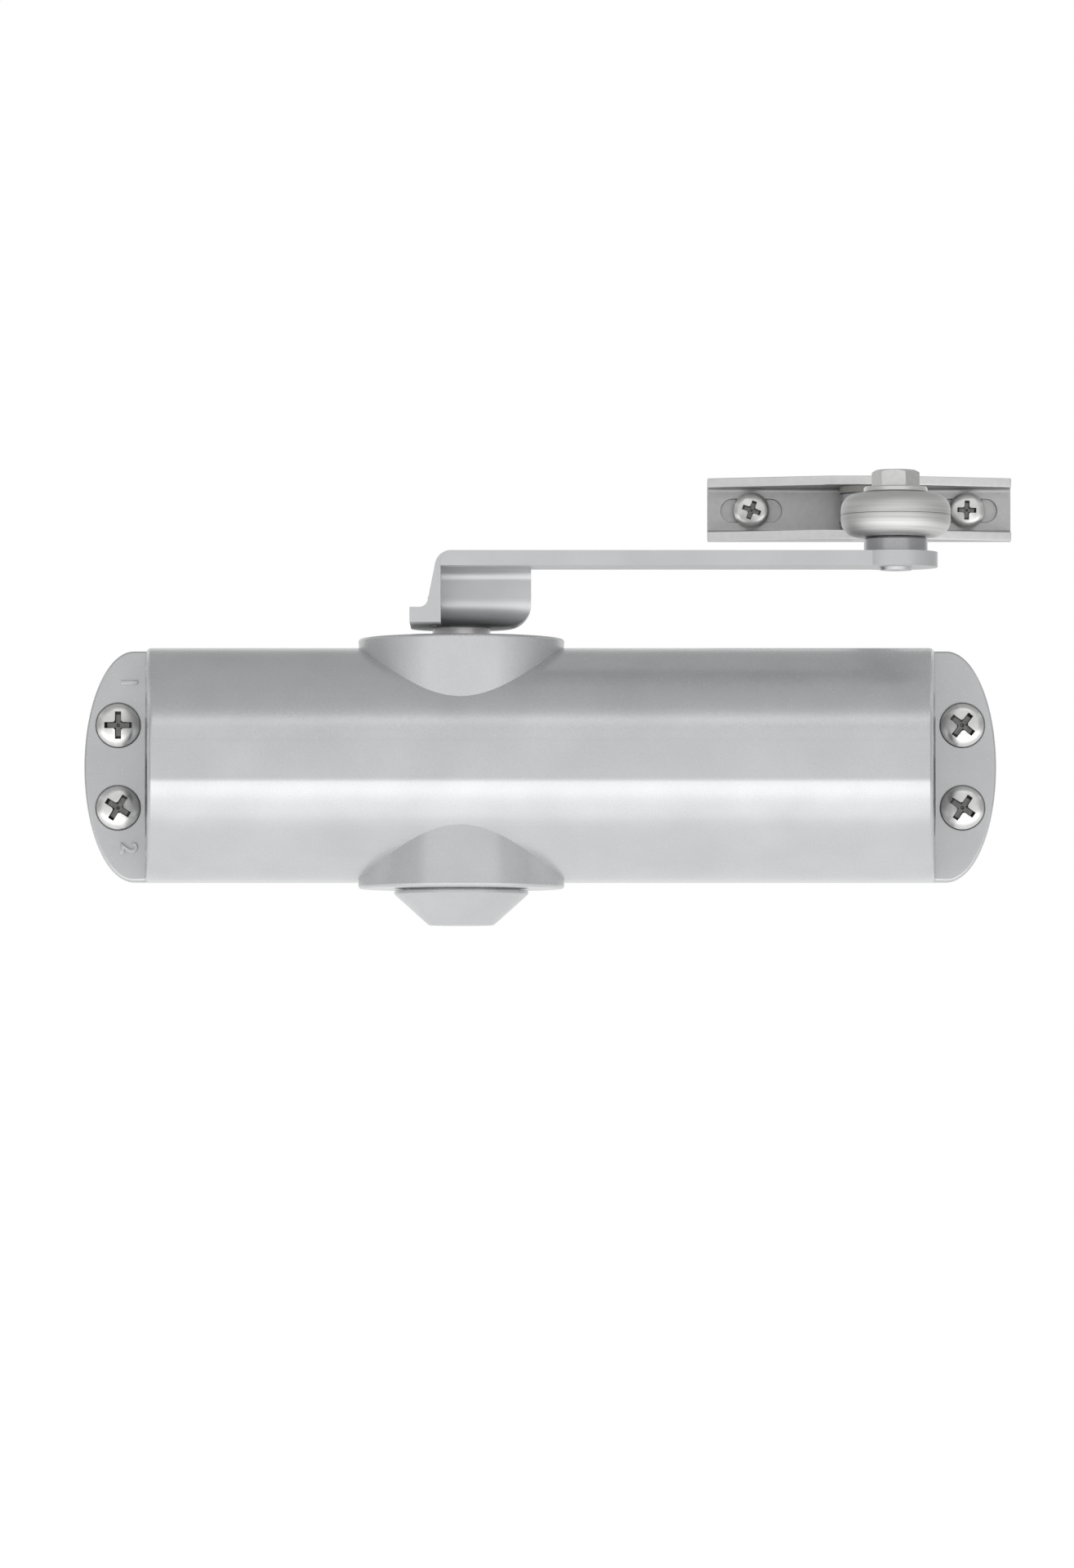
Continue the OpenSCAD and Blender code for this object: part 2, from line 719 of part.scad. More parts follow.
module housing_screws() {
    turns = [0, 32, 38, 34];
    seat_y = -ear_t + screw_recess;
    color("lightgray") for (x = [0, 1], z = [0, 1])
        translate([(x - 0.5) * screw_pitch_x, seat_y, (0.5 - z) * screw_pitch_z]) along_y()
            pan_screw(body_head_r, body_head_h, body_shank_r,
                -seat_y, body_screw_len - seat_y, turns[x * 2 + z]);
}

// Side view of the bent bar: the foot's front edge, the upright web and the bar
module crank_section() {
    outer = bend_r + arm_t;
    translate([bend_y, 0]) square([-bend_y, arm_t]);
    translate([-web_back - arm_t, outer]) square([arm_t, crank_rise + arm_t - 2 * outer]);
    translate([front_y, crank_rise]) square([bar_w - bend_r, arm_t]);
    translate([bend_y, outer]) bend(180, outer);
    translate([-web_back - arm_t - bend_r, crank_rise - bend_r]) bend(0, outer);
}

// Quarter of a bend, from angle start, around its centre
module bend(start, outer) {
    rotate(start) intersection() {
        difference() {
            circle(r = outer);
            circle(r = bend_r);
        }
        square([outer, outer]);
    }
}

// Front outline of the web and its wall: a left edge that leans out and ends in a fillet to the foot,
// and two round corners
module web_outline() {
    top = crank_rise + arm_t;
    right = web_x + web_w;
    difference() {
        polygon([[web_x, top + eps], [web_x, top - bar_corner_r], [web_x - wall_lean, arm_t + wall_fillet],
            [fillet_x, arm_t + wall_fillet], [fillet_x, -eps], [right, -eps], [right, top + eps]]);
        translate([fillet_x, arm_t + wall_fillet]) circle(r = wall_fillet);
        translate([web_x + bar_corner_r, top - bar_corner_r]) outside_corner(bar_corner_r);
        translate([right - web_corner_r, web_corner_r]) rotate(180) outside_corner(web_corner_r);
    }
}

// What a round corner of radius r leaves of its square, at the upper left of its centre
module outside_corner(r) {
    difference() {
        translate([-r - 1, 0]) square(r + 1);
        circle(r = r);
    }
}

// Top view of the foot: round behind, with a tab that runs forward under the wall
module foot_outline() {
    difference() {
        circle(r = foot_r);
        translate([web_x, bend_y - far]) square([far, far]);
    }
    translate([-foot_r, front_y]) square([foot_r + web_x - wall_lean, -front_y]);
}

// Top view of the straight run from the web's right end to the round foot
module foot_run() {
    web_end = [web_x + web_w, bend_y];
    touch = atan2(web_end[1], web_end[0]) + acos(foot_r / norm(web_end));
    polygon([[web_x, bend_y], web_end, foot_r * [cos(touch), sin(touch)], [0, 0]]);
}

module main_arm() {
    bar_x = web_x + web_corner_r;
    square_hole = square_af + 2 * run_gap;
    color("silver") translate([boss_x, -axis_depth, foot_z]) difference() {
        union() {
            linear_extrude(arm_t) foot_outline();
            intersection() {
                union() {
                    translate([fillet_x, 0, 0]) rotate([90, 0, 90])
                        linear_extrude(web_x + web_w - fillet_x) crank_section();
                    translate([fillet_x, front_y, 0])
                        cube([web_x + wall_t - fillet_x, bar_w - arm_t / 2, crank_rise + arm_t / 2]);
                    linear_extrude(arm_t) foot_run();
                }
                rotate([90, 0, 0]) linear_extrude(far, center = true) web_outline();
            }
            translate([bar_x, front_y, crank_rise]) cube([arm_reach - bar_x, bar_w, arm_t]);
            translate([arm_reach, front_y + bar_w / 2, crank_rise]) cylinder(r = eye_r, h = arm_t);
        }
        translate([-square_hole / 2, -square_hole / 2, -eps])
            cube([square_hole, square_hole, arm_t + 2 * eps]);
        translate([arm_reach, front_y + bar_w / 2, crank_rise - eps])
            cylinder(r = rivet_hole_r, h = arm_t + 2 * eps);
    }
}

// Hexagon screw, its head's seat at zero and its shank downwards
module hex_screw(length) {
    hexagon(hex_af, hex_h);
    translate([0, 0, -length]) cylinder(r = shank_r - seat_gap, h = length);
}

module arm_washer() {
    color("silver") at_pinion() translate([0, 0, foot_z + arm_t])
        ring(arm_washer_r, shank_r + washer_play, arm_washer_t);
}

module arm_screw() {
    color("silver") at_pinion() translate([0, 0, foot_z + arm_t + arm_washer_t]) hex_screw(arm_screw_len);
}

module elbow_pivot() {
    color("silver") at_elbow() difference() {
        union() {
            translate([0, 0, bar_z]) cylinder(r = rivet_hole_r - seat_gap, h = arm_t);
            translate([0, 0, bar_z - rivet_h]) cylinder(r1 = rivet_hole_r, r2 = rivet_r, h = rivet_h);
            translate([0, 0, bar_z + arm_t]) cylinder(r = shoulder_r, h = shoulder_h);
            translate([0, 0, bar_z + arm_t + shoulder_h]) cylinder(r = pivot_r, h = bush_z);
        }
        translate([0, 0, washer_z - elbow_bolt_len]) cylinder(r = shank_r, h = elbow_bolt_len + 1);
    }
}

module elbow_bush() {
    color("black") at_elbow() translate([0, 0, knuckle_z - side_gap + bush_play])
        ring(pivot_r + bush_wall - seat_gap, pivot_r + run_gap, bush_z - 2 * bush_play);
}

module knuckle_section() {
    inner_r = knuckle_r - knuckle_round;
    square([inner_r, knuckle_h]);
    translate([inner_r, knuckle_round]) square([knuckle_round, knuckle_h - 2 * knuckle_round]);
    for (z = [knuckle_round, knuckle_h - knuckle_round]) translate([inner_r, z])
        circle(r = knuckle_round);
}

module elbow_knuckle() {
    color("silver") difference() {
        union() {
            at_elbow() translate([0, 0, knuckle_z]) rotate_extrude() knuckle_section();
            along_forearm() translate([0, 0, stub_start]) {
                cylinder(r = tube_r, h = stub_len - stub_start);
                cylinder(r = rod_r - seat_gap, h = stub_len - stub_start + stub_spigot);
            }
        }
        at_elbow() translate([0, 0, knuckle_z - eps])
            cylinder(r = pivot_r + bush_wall, h = knuckle_h + 2 * eps);
    }
}

module elbow_washer() {
    color("silver") at_elbow() translate([0, 0, washer_z])
        ring(shoulder_r, shank_r + washer_play, washer_t);
}

module elbow_bolt() {
    color("silver") at_elbow() translate([0, 0, washer_z + washer_t]) hex_screw(elbow_bolt_len);
}

module forearm_tube() {
    color("silver") along_forearm() difference() {
        translate([0, 0, stub_len]) ring(tube_r, rod_r + run_gap, tube_len);
        translate([0, 0, stub_len - eps]) cylinder(r = rod_r, h = stub_spigot);
        translate([0, 0, stub_len + tube_len - grub_back]) rotate([90, 0, 0])
            cylinder(r = grub_r, h = tube_r + 1);
    }
}

module clamp_screw() {
    height = tube_r - rod_r + 0.8;
    color("dimgray") along_forearm()
        translate([0, -rod_r - 2 * run_gap, stub_len + tube_len - grub_back])
            rotate([90, 0, 0]) difference() {
                cylinder(r = grub_r - seat_gap, h = height);
                translate([0, 0, grub_socket]) hexagon(grub_r, height);
            }
}

module forearm_rod() {
    color("silver") difference() {
        union() {
            along_forearm() translate([0, 0, rod_start]) cylinder(r = rod_r, h = forearm_len - rod_start);
            at_pin() translate([0, 0, -rod_eye_h / 2]) cylinder(r = rod_eye_r, h = rod_eye_h);
        }
        at_pin() translate([0, 0, -rod_eye_h]) cylinder(r = pin_r + eye_bush_wall, h = 2 * rod_eye_h);
    }
}

module shoe_bushes() {
    color("white") for (side = [0, 1]) at_pin() mirror([0, 0, side]) difference() {
        union() {
            translate([0, 0, bush_play]) cylinder(r = pin_r + eye_bush_wall - seat_gap, h = rod_eye_h / 2);
            translate([0, 0, rod_eye_h / 2 + seat_gap]) cylinder(r = flange_r, h = shoe_gap - side_gap);
        }
        cylinder(r = pin_r + run_gap, h = shoe_h);
    }
}

module shoe_pin() {
    color("silver") at_pin() translate([0, 0, -shoe_h / 2]) cylinder(r = pin_r, h = shoe_h);
}

// Channel with side walls that deepen towards the pin, open to the front
module shoe_bracket() {
    half = shoe_len / 2;
    color("silver") translate([elbow_x, plate_y, pin_z]) difference() {
        union() {
            translate([-half, 0, -shoe_h / 2]) cube([shoe_len, shoe_t, shoe_h]);
            for (side = [0, 1]) mirror([0, 0, side]) translate([0, 0, shoe_h / 2 - shoe_t])
                linear_extrude(shoe_t) polygon([
                    [-half, eps], [-half, -lip_end], [-lug_half, -lip_mid],
                    [lug_half, -lip_mid], [half, -lip_end], [half, eps]
                ]);
        }
        translate([0, -pin_back, -shoe_h]) cylinder(r = pin_r + seat_gap, h = 2 * shoe_h);
        for (side = [-1, 1]) translate([side * slot_pitch / 2, shoe_t, 0]) rotate([90, 0, 0]) {
            translate([0, 0, -eps]) cylinder(r = shoe_shank_r + shank_play, h = shoe_t + 2 * eps);
            translate([0, 0, slot_floor]) {
                for (end = [-1, 1]) translate([end * (slot_len - slot_w) / 2, 0, 0])
                    cylinder(r = slot_w / 2, h = shoe_t);
                translate([-(slot_len - slot_w) / 2, -slot_w / 2, 0])
                    cube([slot_len - slot_w, slot_w, shoe_t]);
            }
        }
    }
}

module shoe_screws() {
    turns = [20, 2];
    color("lightgray") for (x = [0, 1])
        translate([elbow_x + (x * 2 - 1) * slot_pitch / 2, plate_y, pin_z]) along_y()
            pan_screw(shoe_head_r, shoe_head_h, shoe_shank_r,
                shoe_t, shoe_t + shoe_screw_len, turns[x]);
}

housing();
left_end_plug();
right_end_plug();
left_plug_oring();
right_plug_oring();
piston();
piston_ring();
check_valve();
check_ball();
return_spring();
pinion_shaft();
upper_bearing();
lower_bearing();
upper_seal();
lower_seal();
upper_gland();
lower_gland();
bottom_cap();
closing_valve();
latching_valve();
valve_orings();
housing_screws();
main_arm();
arm_washer();
arm_screw();
elbow_pivot();
elbow_bush();
elbow_knuckle();
elbow_washer();
elbow_bolt();
forearm_tube();
clamp_screw();
forearm_rod();
shoe_bushes();
shoe_pin();
shoe_bracket();
shoe_screws();
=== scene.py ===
import math

import bmesh
import bpy
from mathutils import Matrix, Vector


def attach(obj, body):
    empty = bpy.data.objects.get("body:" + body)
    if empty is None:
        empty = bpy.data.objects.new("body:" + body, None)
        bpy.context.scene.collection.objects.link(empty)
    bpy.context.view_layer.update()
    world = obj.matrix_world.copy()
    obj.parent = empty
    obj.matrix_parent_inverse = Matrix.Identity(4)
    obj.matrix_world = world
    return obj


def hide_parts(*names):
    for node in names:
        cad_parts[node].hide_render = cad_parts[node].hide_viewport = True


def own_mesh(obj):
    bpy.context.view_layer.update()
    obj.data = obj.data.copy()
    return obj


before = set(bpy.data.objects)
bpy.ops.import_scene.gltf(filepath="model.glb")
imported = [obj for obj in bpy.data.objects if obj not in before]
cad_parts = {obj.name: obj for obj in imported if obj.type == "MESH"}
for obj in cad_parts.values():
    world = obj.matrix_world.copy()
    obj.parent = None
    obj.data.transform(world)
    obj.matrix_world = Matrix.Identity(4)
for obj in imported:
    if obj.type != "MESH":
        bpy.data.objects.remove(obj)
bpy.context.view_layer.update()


# Housing casting
# One aluminium die casting: a round block with a flat band along its front, an ear at each end
# and a boss across it for the pinion. Its seats are bored, and it is sprayed with silver enamel.
MM = 0.001


def linear(code):
    """A colour written as sRGB hex, in linear light."""
    parts = [int(code[i:i + 2], 16) / 255 for i in (0, 2, 4)]
    return (*[c / 12.92 if c <= 0.04045 else ((c + 0.055) / 1.055) ** 2.4 for c in parts], 1)


def add_node(tree, kind, settings=None, links=None):
    """A new node in tree. settings are its properties and sockets, links its inputs' sources."""
    node = tree.nodes.new(kind)
    for name, value in (settings or {}).items():
        if isinstance(name, str) and hasattr(node, name):
            setattr(node, name, value)
        else:
            node.inputs[name].default_value = value
    for name, (source, output) in (links or {}).items():
        tree.links.new(source.outputs[output], node.inputs[name])
    return node


def new_material(name):
    """An empty material, its node tree and its output node."""
    made = bpy.data.materials.new(name)
    made.use_nodes = True
    made.node_tree.nodes.clear()
    return made, made.node_tree, add_node(made.node_tree, "ShaderNodeOutputMaterial")


def silver_enamel(name, light, dark, roughness, metal):
    """Sprayed silver enamel: slight clouds in its tone and height, and flakes that break its gloss.
    Real flakes are about 0.05 mm. These are drawn coarser, so that they show."""
    cloud_size, flake_size, flake_share, uneven = 14 * MM, 0.5 * MM, 0.12, 0.01
    made, tree, output = new_material(name)
    place = add_node(tree, "ShaderNodeTexCoord")
    cloud = add_node(tree, "ShaderNodeTexNoise", {"Scale": 1 / cloud_size, "Detail": 3.0},
                     {"Vector": (place, "Object")})
    flake = add_node(tree, "ShaderNodeTexNoise", {"Scale": 1 / flake_size, "Detail": 2.0},
                     {"Vector": (place, "Object")})
    both = add_node(tree, "ShaderNodeMath", {"operation": "MULTIPLY_ADD", 1: flake_share},
                    {0: (flake, "Fac"), 2: (cloud, "Fac")})
    tone = add_node(tree, "ShaderNodeMapRange",
                    {"From Min": 0.25, "From Max": 0.87}, {"Value": (both, "Value")})
    colour = add_node(tree, "ShaderNodeMix",
                      {"data_type": "RGBA", 6: linear(dark), 7: linear(light)},
                      {0: (tone, "Result")})
    rough = add_node(tree, "ShaderNodeMapRange",
                     {"To Min": roughness - uneven, "To Max": roughness + uneven},
                     {"Value": (flake, "Fac")})
    bump = add_node(tree, "ShaderNodeBump", {"Strength": 0.06, "Distance": 0.05 * MM},
                    {"Height": (cloud, "Fac")})
    paint = add_node(tree, "ShaderNodeBsdfPrincipled", {"Metallic": metal, "IOR": 1.5},
                     {"Base Color": (colour, 2), "Roughness": (rough, "Result"),
                      "Normal": (bump, "Normal")})
    tree.links.new(paint.outputs[0], output.inputs["Surface"])
    return made


def only(piece):
    """Leaves just this piece selected and active."""
    bpy.ops.object.select_all(action="DESELECT")
    piece.select_set(True)
    bpy.context.view_layer.objects.active = piece


def settle(piece, name):
    """Names the piece and puts its place into its mesh."""
    only(piece)
    bpy.ops.object.transform_apply(location=True, rotation=True, scale=True)
    piece.name = piece.data.name = name
    return piece


def block(name, low, high):
    """A cuboid between two corners, ready to be shaped."""
    low, high = Vector(low), Vector(high)
    bpy.ops.object.select_all(action="DESELECT")
    bpy.ops.mesh.primitive_cube_add(size=1, location=(low + high) / 2)
    piece = bpy.context.object
    piece.scale = high - low
    return settle(piece, name)


def stand(piece, place, toward):
    """Moves the piece to place, with its Z axis along toward."""
    turn = Vector(toward).to_track_quat("Z", "Y").to_matrix().to_4x4()
    piece.matrix_world = Matrix.Translation(Vector(place)) @ turn


def rod(name, start, end, radius, sides=64):
    """A round bar between two points, ready to be shaped or to bore with."""
    start, end = Vector(start), Vector(end)
    bpy.ops.object.select_all(action="DESELECT")
    bpy.ops.mesh.primitive_cylinder_add(
        vertices=sides, radius=radius, depth=(end - start).length)
    piece = bpy.context.object
    stand(piece, (start + end) / 2, end - start)
    return settle(piece, name)


def pick(piece, kind, test):
    """Opens the piece in edit mode with only the verts, edges or faces selected that pass test."""
    if bpy.context.mode != "OBJECT":
        bpy.ops.object.mode_set(mode="OBJECT")
    only(piece)
    bpy.ops.object.mode_set(mode="EDIT")
    modes = tuple(kind == mode for mode in ("verts", "edges", "faces"))
    bpy.context.tool_settings.mesh_select_mode = modes
    bpy.ops.mesh.select_all(action="DESELECT")
    mesh = bmesh.from_edit_mesh(piece.data)
    for part in [part for part in getattr(mesh, kind) if test(part)]:
        part.select_set(True)
    bmesh.update_edit_mesh(piece.data)


def close():
    """Leaves edit mode."""
    bpy.ops.object.mode_set(mode="OBJECT")


def halve(piece, place, outward):
    """Cuts off what lies outward of a plane and closes the cut."""
    pick(piece, "faces", lambda face: True)
    bpy.ops.mesh.bisect(plane_co=place, plane_no=outward, clear_outer=True, use_fill=True)
    close()


def combine(piece, operation, others):
    """Joins the others to the piece, or cuts them out of it."""
    for other in others:
        joint = piece.modifiers.new("joint", "BOOLEAN")
        joint.operation, joint.solver, joint.object = operation, "EXACT", other
        only(piece)
        bpy.ops.object.modifier_apply(modifier=joint.name)
        bpy.data.objects.remove(other)


def finish_piece(piece, body, nodes, material, angle=25):
    """Smooths the shading up to angle degrees, gives the piece its material and the body that it
    rides on, and hides the CAD nodes that it stands for."""
    only(piece)
    bpy.ops.object.shade_smooth_by_angle(angle=math.radians(angle))
    even = piece.modifiers.new("even", "WEIGHTED_NORMAL")
    even.keep_sharp = True
    bpy.ops.object.modifier_apply(modifier=even.name)
    piece.data.materials.clear()
    piece.data.materials.append(material)
    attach(piece, body)
    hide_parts(*nodes)


# Silver enamel: satin gloss, bright where it faces the light, with a faint sparkle.
enamel = silver_enamel("silver_enamel", "C9CACB", "BEBFC0", 0.27, 0.55)
# How far a cutter goes past a surface, or a joined piece into its neighbour, and how close counts
# as equal.
past, near = 1 * MM, 0.01 * MM
body_len, body_r, facet_h, axis_depth = 191.5 * MM, 28 * MM, 9.1 * MM, 19.5 * MM
end_x, end_draft = body_len / 2, math.radians(3.7)
facet_y = -axis_depth - math.sqrt(body_r ** 2 - facet_h ** 2 / 4)
ear_t, ear_reach, ear_curve, ear_root = 7 * MM, 14.75 * MM, 12 * MM, 5 * MM
boss_x, boss_r, boss_waist_r = -19 * MM, 24.8 * MM, 22 * MM
boss_top, boss_bottom = 30.2 * MM, -30.0 * MM
end_edge, ear_edge, boss_edge = 1.2 * MM, 0.9 * MM, 0.8 * MM

housing = rod("housing_casting", (-end_x, -axis_depth, 0), (end_x, -axis_depth, 0), body_r, 128)
halve(housing, (0, -axis_depth, 0), (0, 1, 0))
pick(housing, "faces", lambda face: face.normal.y > 0.9)
bpy.ops.mesh.extrude_region_move(TRANSFORM_OT_translate={"value": (0, axis_depth, 0)})
close()
halve(housing, (0, facet_y, 0), (0, -1, 0))
for side in (-1, 1):
    halve(housing, (side * end_x, -ear_t, 0),
          (side * math.cos(end_draft), -math.sin(end_draft), 0))
pick(housing, "edges", lambda edge: len(edge.link_faces) == 2
     and all(v.co.y < -ear_t / 2 for v in edge.verts)
     and sum(abs(face.normal.x) > 0.9 for face in edge.link_faces) == 1)
bpy.ops.mesh.bevel(offset=end_edge, segments=3)
close()


def turned(name, place, toward, profile, sides=96):
    """A piece turned about the axis toward at place. profile gives its radius and distance along
    the axis at each step, from one end to the other, and back inside where it is hollow."""
    small = 0.001 * MM
    radii = [max(radius, small) for radius, _ in profile]
    bpy.ops.object.select_all(action="DESELECT")
    bpy.ops.mesh.primitive_circle_add(
        vertices=sides, radius=radii[0], location=(0, 0, profile[0][1]))
    piece = settle(bpy.context.object, name)
    pick(piece, "edges", lambda edge: True)
    for i in range(1, len(profile)):
        rise, grow = profile[i][1] - profile[i - 1][1], radii[i] / radii[i - 1]
        bpy.ops.mesh.extrude_edges_move(TRANSFORM_OT_translate={"value": (0, 0, rise)})
        bpy.ops.transform.resize(value=(grow, grow, 1), center_override=(0, 0, profile[i][1]))
    bpy.ops.mesh.select_all(action="SELECT")
    bpy.ops.mesh.remove_doubles(threshold=2 * small)
    bpy.ops.mesh.normals_make_consistent(inside=False)
    close()
    stand(piece, place, toward)
    return settle(piece, name)


def rounded(radius, height, size, start, end, steps=4):
    """Profile points of a rounded edge of the given size about (radius, height), from the angle
    start to the angle end."""
    turns = [math.radians(start + (end - start) * i / steps) for i in range(steps + 1)]
    return [(radius + size * math.cos(a), height + size * math.sin(a)) for a in turns]


screw_pitch_x, screw_pitch_z = 204.5 * MM, 20 * MM
screw_hole_r, screw_seat_r, screw_seat_deep = 2.7 * MM, 5.6 * MM, 1.2 * MM
screw_places = [(x * screw_pitch_x / 2, z * screw_pitch_z / 2) for x in (-1, 1) for z in (1, -1)]
ears = []
for side in (-1, 1):
    centre = side * (end_x + ear_reach - ear_curve)
    ear = rod("ear", (centre, -ear_t, 0), (centre, 0, 0), body_r, 128)
    pick(ear, "verts", lambda vert: True)
    bpy.ops.transform.resize(value=(ear_curve / body_r, 1, 1), center_override=(centre, 0, 0))
    close()
    halve(ear, (centre, 0, 0), (-side, 0, 0))
    pick(ear, "faces", lambda face: face.normal.x * side < -0.9
         and abs(face.calc_center_median().x) < abs(centre) + near)
    bpy.ops.mesh.extrude_region_move(
        TRANSFORM_OT_translate={"value": (side * (end_x - ear_root) - centre, 0, 0)})
    close()
    pick(ear, "edges", lambda edge: edge.calc_face_angle(0) > 1
         and all(v.co.y < -ear_t + near for v in edge.verts)
         and any(abs(v.co.x) > end_x for v in edge.verts))
    bpy.ops.mesh.bevel(offset=ear_edge, segments=3)
    close()
    combine(ear, "DIFFERENCE", [turned("screw_seat", (x, 0, z), (0, -1, 0), [
        (0, -past), (screw_hole_r, -past), (screw_hole_r, ear_t - screw_seat_deep),
        (screw_seat_r, ear_t - screw_seat_deep), (screw_seat_r, ear_t + past),
        (0, ear_t + past)], 64) for x, z in screw_places if x * side > 0])
    ears.append(ear)

boss = turned("boss", (boss_x, -axis_depth, 0), (0, 0, 1), [
    (0, boss_bottom),
    *rounded(boss_r - boss_edge, boss_bottom + boss_edge, boss_edge, -90, 0),
    (boss_waist_r, 0),
    *rounded(boss_r - boss_edge, boss_top - boss_edge, boss_edge, 0, 90),
    (0, boss_top)])
halve(boss, (0, 0, 0), (0, 1, 0))
combine(housing, "UNION", [*ears, boss])

bore_r, plug_r, plug_face, far_x = 16.5 * MM, 17.5 * MM, 79.81 * MM, end_x + near
bearing_r, gland_r, gland_h = 10.02 * MM, 13 * MM, 4.2 * MM
valve_r, valve_z, valve_deep = 3 * MM, 22.3 * MM, 22 * MM
seats = [
    turned("bore", (0, -axis_depth, 0), (1, 0, 0), [
        (0, -far_x), (plug_r, -far_x), (plug_r, -plug_face), (bore_r, -plug_face),
        (bore_r, plug_face), (plug_r, plug_face), (plug_r, far_x), (0, far_x)]),
    turned("pinion_seat", (boss_x, -axis_depth, 0), (0, 0, 1), [
        (0, boss_bottom - past), (gland_r, boss_bottom - past), (gland_r, boss_bottom + gland_h),
        (bearing_r, boss_bottom + gland_h), (bearing_r, boss_top - gland_h),
        (gland_r, boss_top - gland_h), (gland_r, boss_top + past), (0, boss_top + past)], 60)]
for side in (-1, 1):
    seats.append(rod("valve_bore", (-far_x, -axis_depth, side * valve_z),
                     (-end_x + valve_deep, -axis_depth, side * valve_z), valve_r, 32))
combine(housing, "DIFFERENCE", seats)
finish_piece(housing, "body", ["housing"], enamel)


# Cast numbers
# A plain 1 and 2 stand up from the left ear, one by each speed valve. They are part of the casting
# and lie under the same enamel, so they show only by their sloping sides.
digit_x, digit_size, digit_rise, digit_slope = -99.8 * MM, 5.6 * MM, 0.5 * MM, 0.22 * MM
for number, z in (("1", 20.4 * MM), ("2", -19.8 * MM)):
    bpy.ops.object.select_all(action="DESELECT")
    bpy.ops.object.text_add(location=(digit_x, -ear_t, z), rotation=(math.pi / 2, math.pi / 2, 0))
    text = bpy.context.object
    text.data.body, text.data.size = number, digit_size
    text.data.extrude, text.data.bevel_depth = digit_rise, digit_slope
    text.data.offset = -0.06 * MM
    text.data.align_x, text.data.align_y = "CENTER", "CENTER"
    only(text)
    bpy.ops.object.convert(target="MESH")
    digit = settle(bpy.context.object, f"cast_number_{number}")
    digit.data.materials.clear()
    digit.data.materials.append(enamel)
    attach(digit, "body")


# Inner metal
# Plugs, piston, pinion, bearings and glands are turned from steel bar, and the valves from brass.
# They show only in the bores, at the glands and with the closer taken apart, in the CAD's shapes.
def dress(names, material):
    """Gives these CAD nodes the material."""
    for name in names:
        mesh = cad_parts[name].data
        mesh.materials.clear()
        mesh.materials.append(material)


def machined(name, light, dark, roughness, spacing, along=1):
    """Turned or ground metal: fine clouds of tone and height, spacing apart. along below 1 draws
    them out into rings about a vertical axis, deeper and coarser than real tool marks, so that
    they show."""
    depth = 0.1 if along == 1 else 0.6
    made, tree, output = new_material(name)
    place = add_node(tree, "ShaderNodeTexCoord")
    drawn = add_node(tree, "ShaderNodeMapping", {"Scale": (along, along, 1)},
                     {"Vector": (place, "Object")})
    noise = add_node(tree, "ShaderNodeTexNoise", {"Scale": 1 / spacing, "Detail": 3.0},
                     {"Vector": (drawn, "Vector")})
    colour = add_node(tree, "ShaderNodeMix",
                      {"data_type": "RGBA", 6: linear(dark), 7: linear(light)},
                      {0: (noise, "Fac")})
    bump = add_node(tree, "ShaderNodeBump", {"Strength": depth, "Distance": 0.03 * MM},
                    {"Height": (noise, "Fac")})
    metal = add_node(tree, "ShaderNodeBsdfPrincipled", {"Metallic": 1.0, "Roughness": roughness},
                     {"Base Color": (colour, 2), "Normal": (bump, "Normal")})
    tree.links.new(metal.outputs[0], output.inputs["Surface"])
    return made


# Turned steel: an even mid grey with a soft sheen.
pivot_steel = machined("turned_steel", "B8B8BA", "A6A6A8", 0.3, 0.6 * MM)
dress(["left_end_plug", "right_end_plug", "piston", "check_ball",
       "upper_bearing", "lower_bearing"], pivot_steel)
# Blackened steel: dark and dull, with oil on it.
black_steel = machined("black_steel", "5E5E60", "4A4A4C", 0.4, 0.8 * MM)
dress(["upper_gland", "lower_gland"], black_steel)
# Bright turned steel: light, with the tool's rings around it.
ring_steel = machined("bright_ring", "ECECEB", "CACAC9", 0.36, 0.7 * MM, 0.03)
dress(["pinion_shaft"], ring_steel)
# Brass: warm yellow, with a soft sheen.
brass = machined("brass", "D6B56A", "C4A055", 0.3, 0.6 * MM)
dress(["check_valve", "closing_valve", "latching_valve"], brass)


# Seals and bushes
# O-rings, shaft seals and the piston's ring are moulded from black nitrile rubber, and the bushes
# from nylon. A dark edge of them shows at the elbow, and a grey one in the frame bracket, where the
# nylon is painted grey as shade.
def moulded(name, light, dark, roughness):
    """Rubber or nylon: an even tone with slight clouds."""
    cloud_size = 0.8 * MM
    made, tree, output = new_material(name)
    place = add_node(tree, "ShaderNodeTexCoord")
    noise = add_node(tree, "ShaderNodeTexNoise", {"Scale": 1 / cloud_size, "Detail": 2.0},
                     {"Vector": (place, "Object")})
    colour = add_node(tree, "ShaderNodeMix",
                      {"data_type": "RGBA", 6: linear(dark), 7: linear(light)},
                      {0: (noise, "Fac")})
    plastic = add_node(tree, "ShaderNodeBsdfPrincipled", {"Roughness": roughness},
                       {"Base Color": (colour, 2)})
    tree.links.new(plastic.outputs[0], output.inputs["Surface"])
    return made


# Nitrile rubber: nearly black and matt.
rubber = moulded("black_rubber", "2A2A2A", "1C1C1C", 0.7)
dress(["left_plug_oring", "right_plug_oring", "piston_ring", "upper_seal", "lower_seal",
       "valve_orings", "elbow_bush"], rubber)
# Nylon, whose own colour is off-white, painted a mid grey as shade where the bracket hides it, with
# a waxy sheen.
dress(["shoe_bushes"], moulded("grey_shade_nylon", "9C9B97", "898884", 0.5))
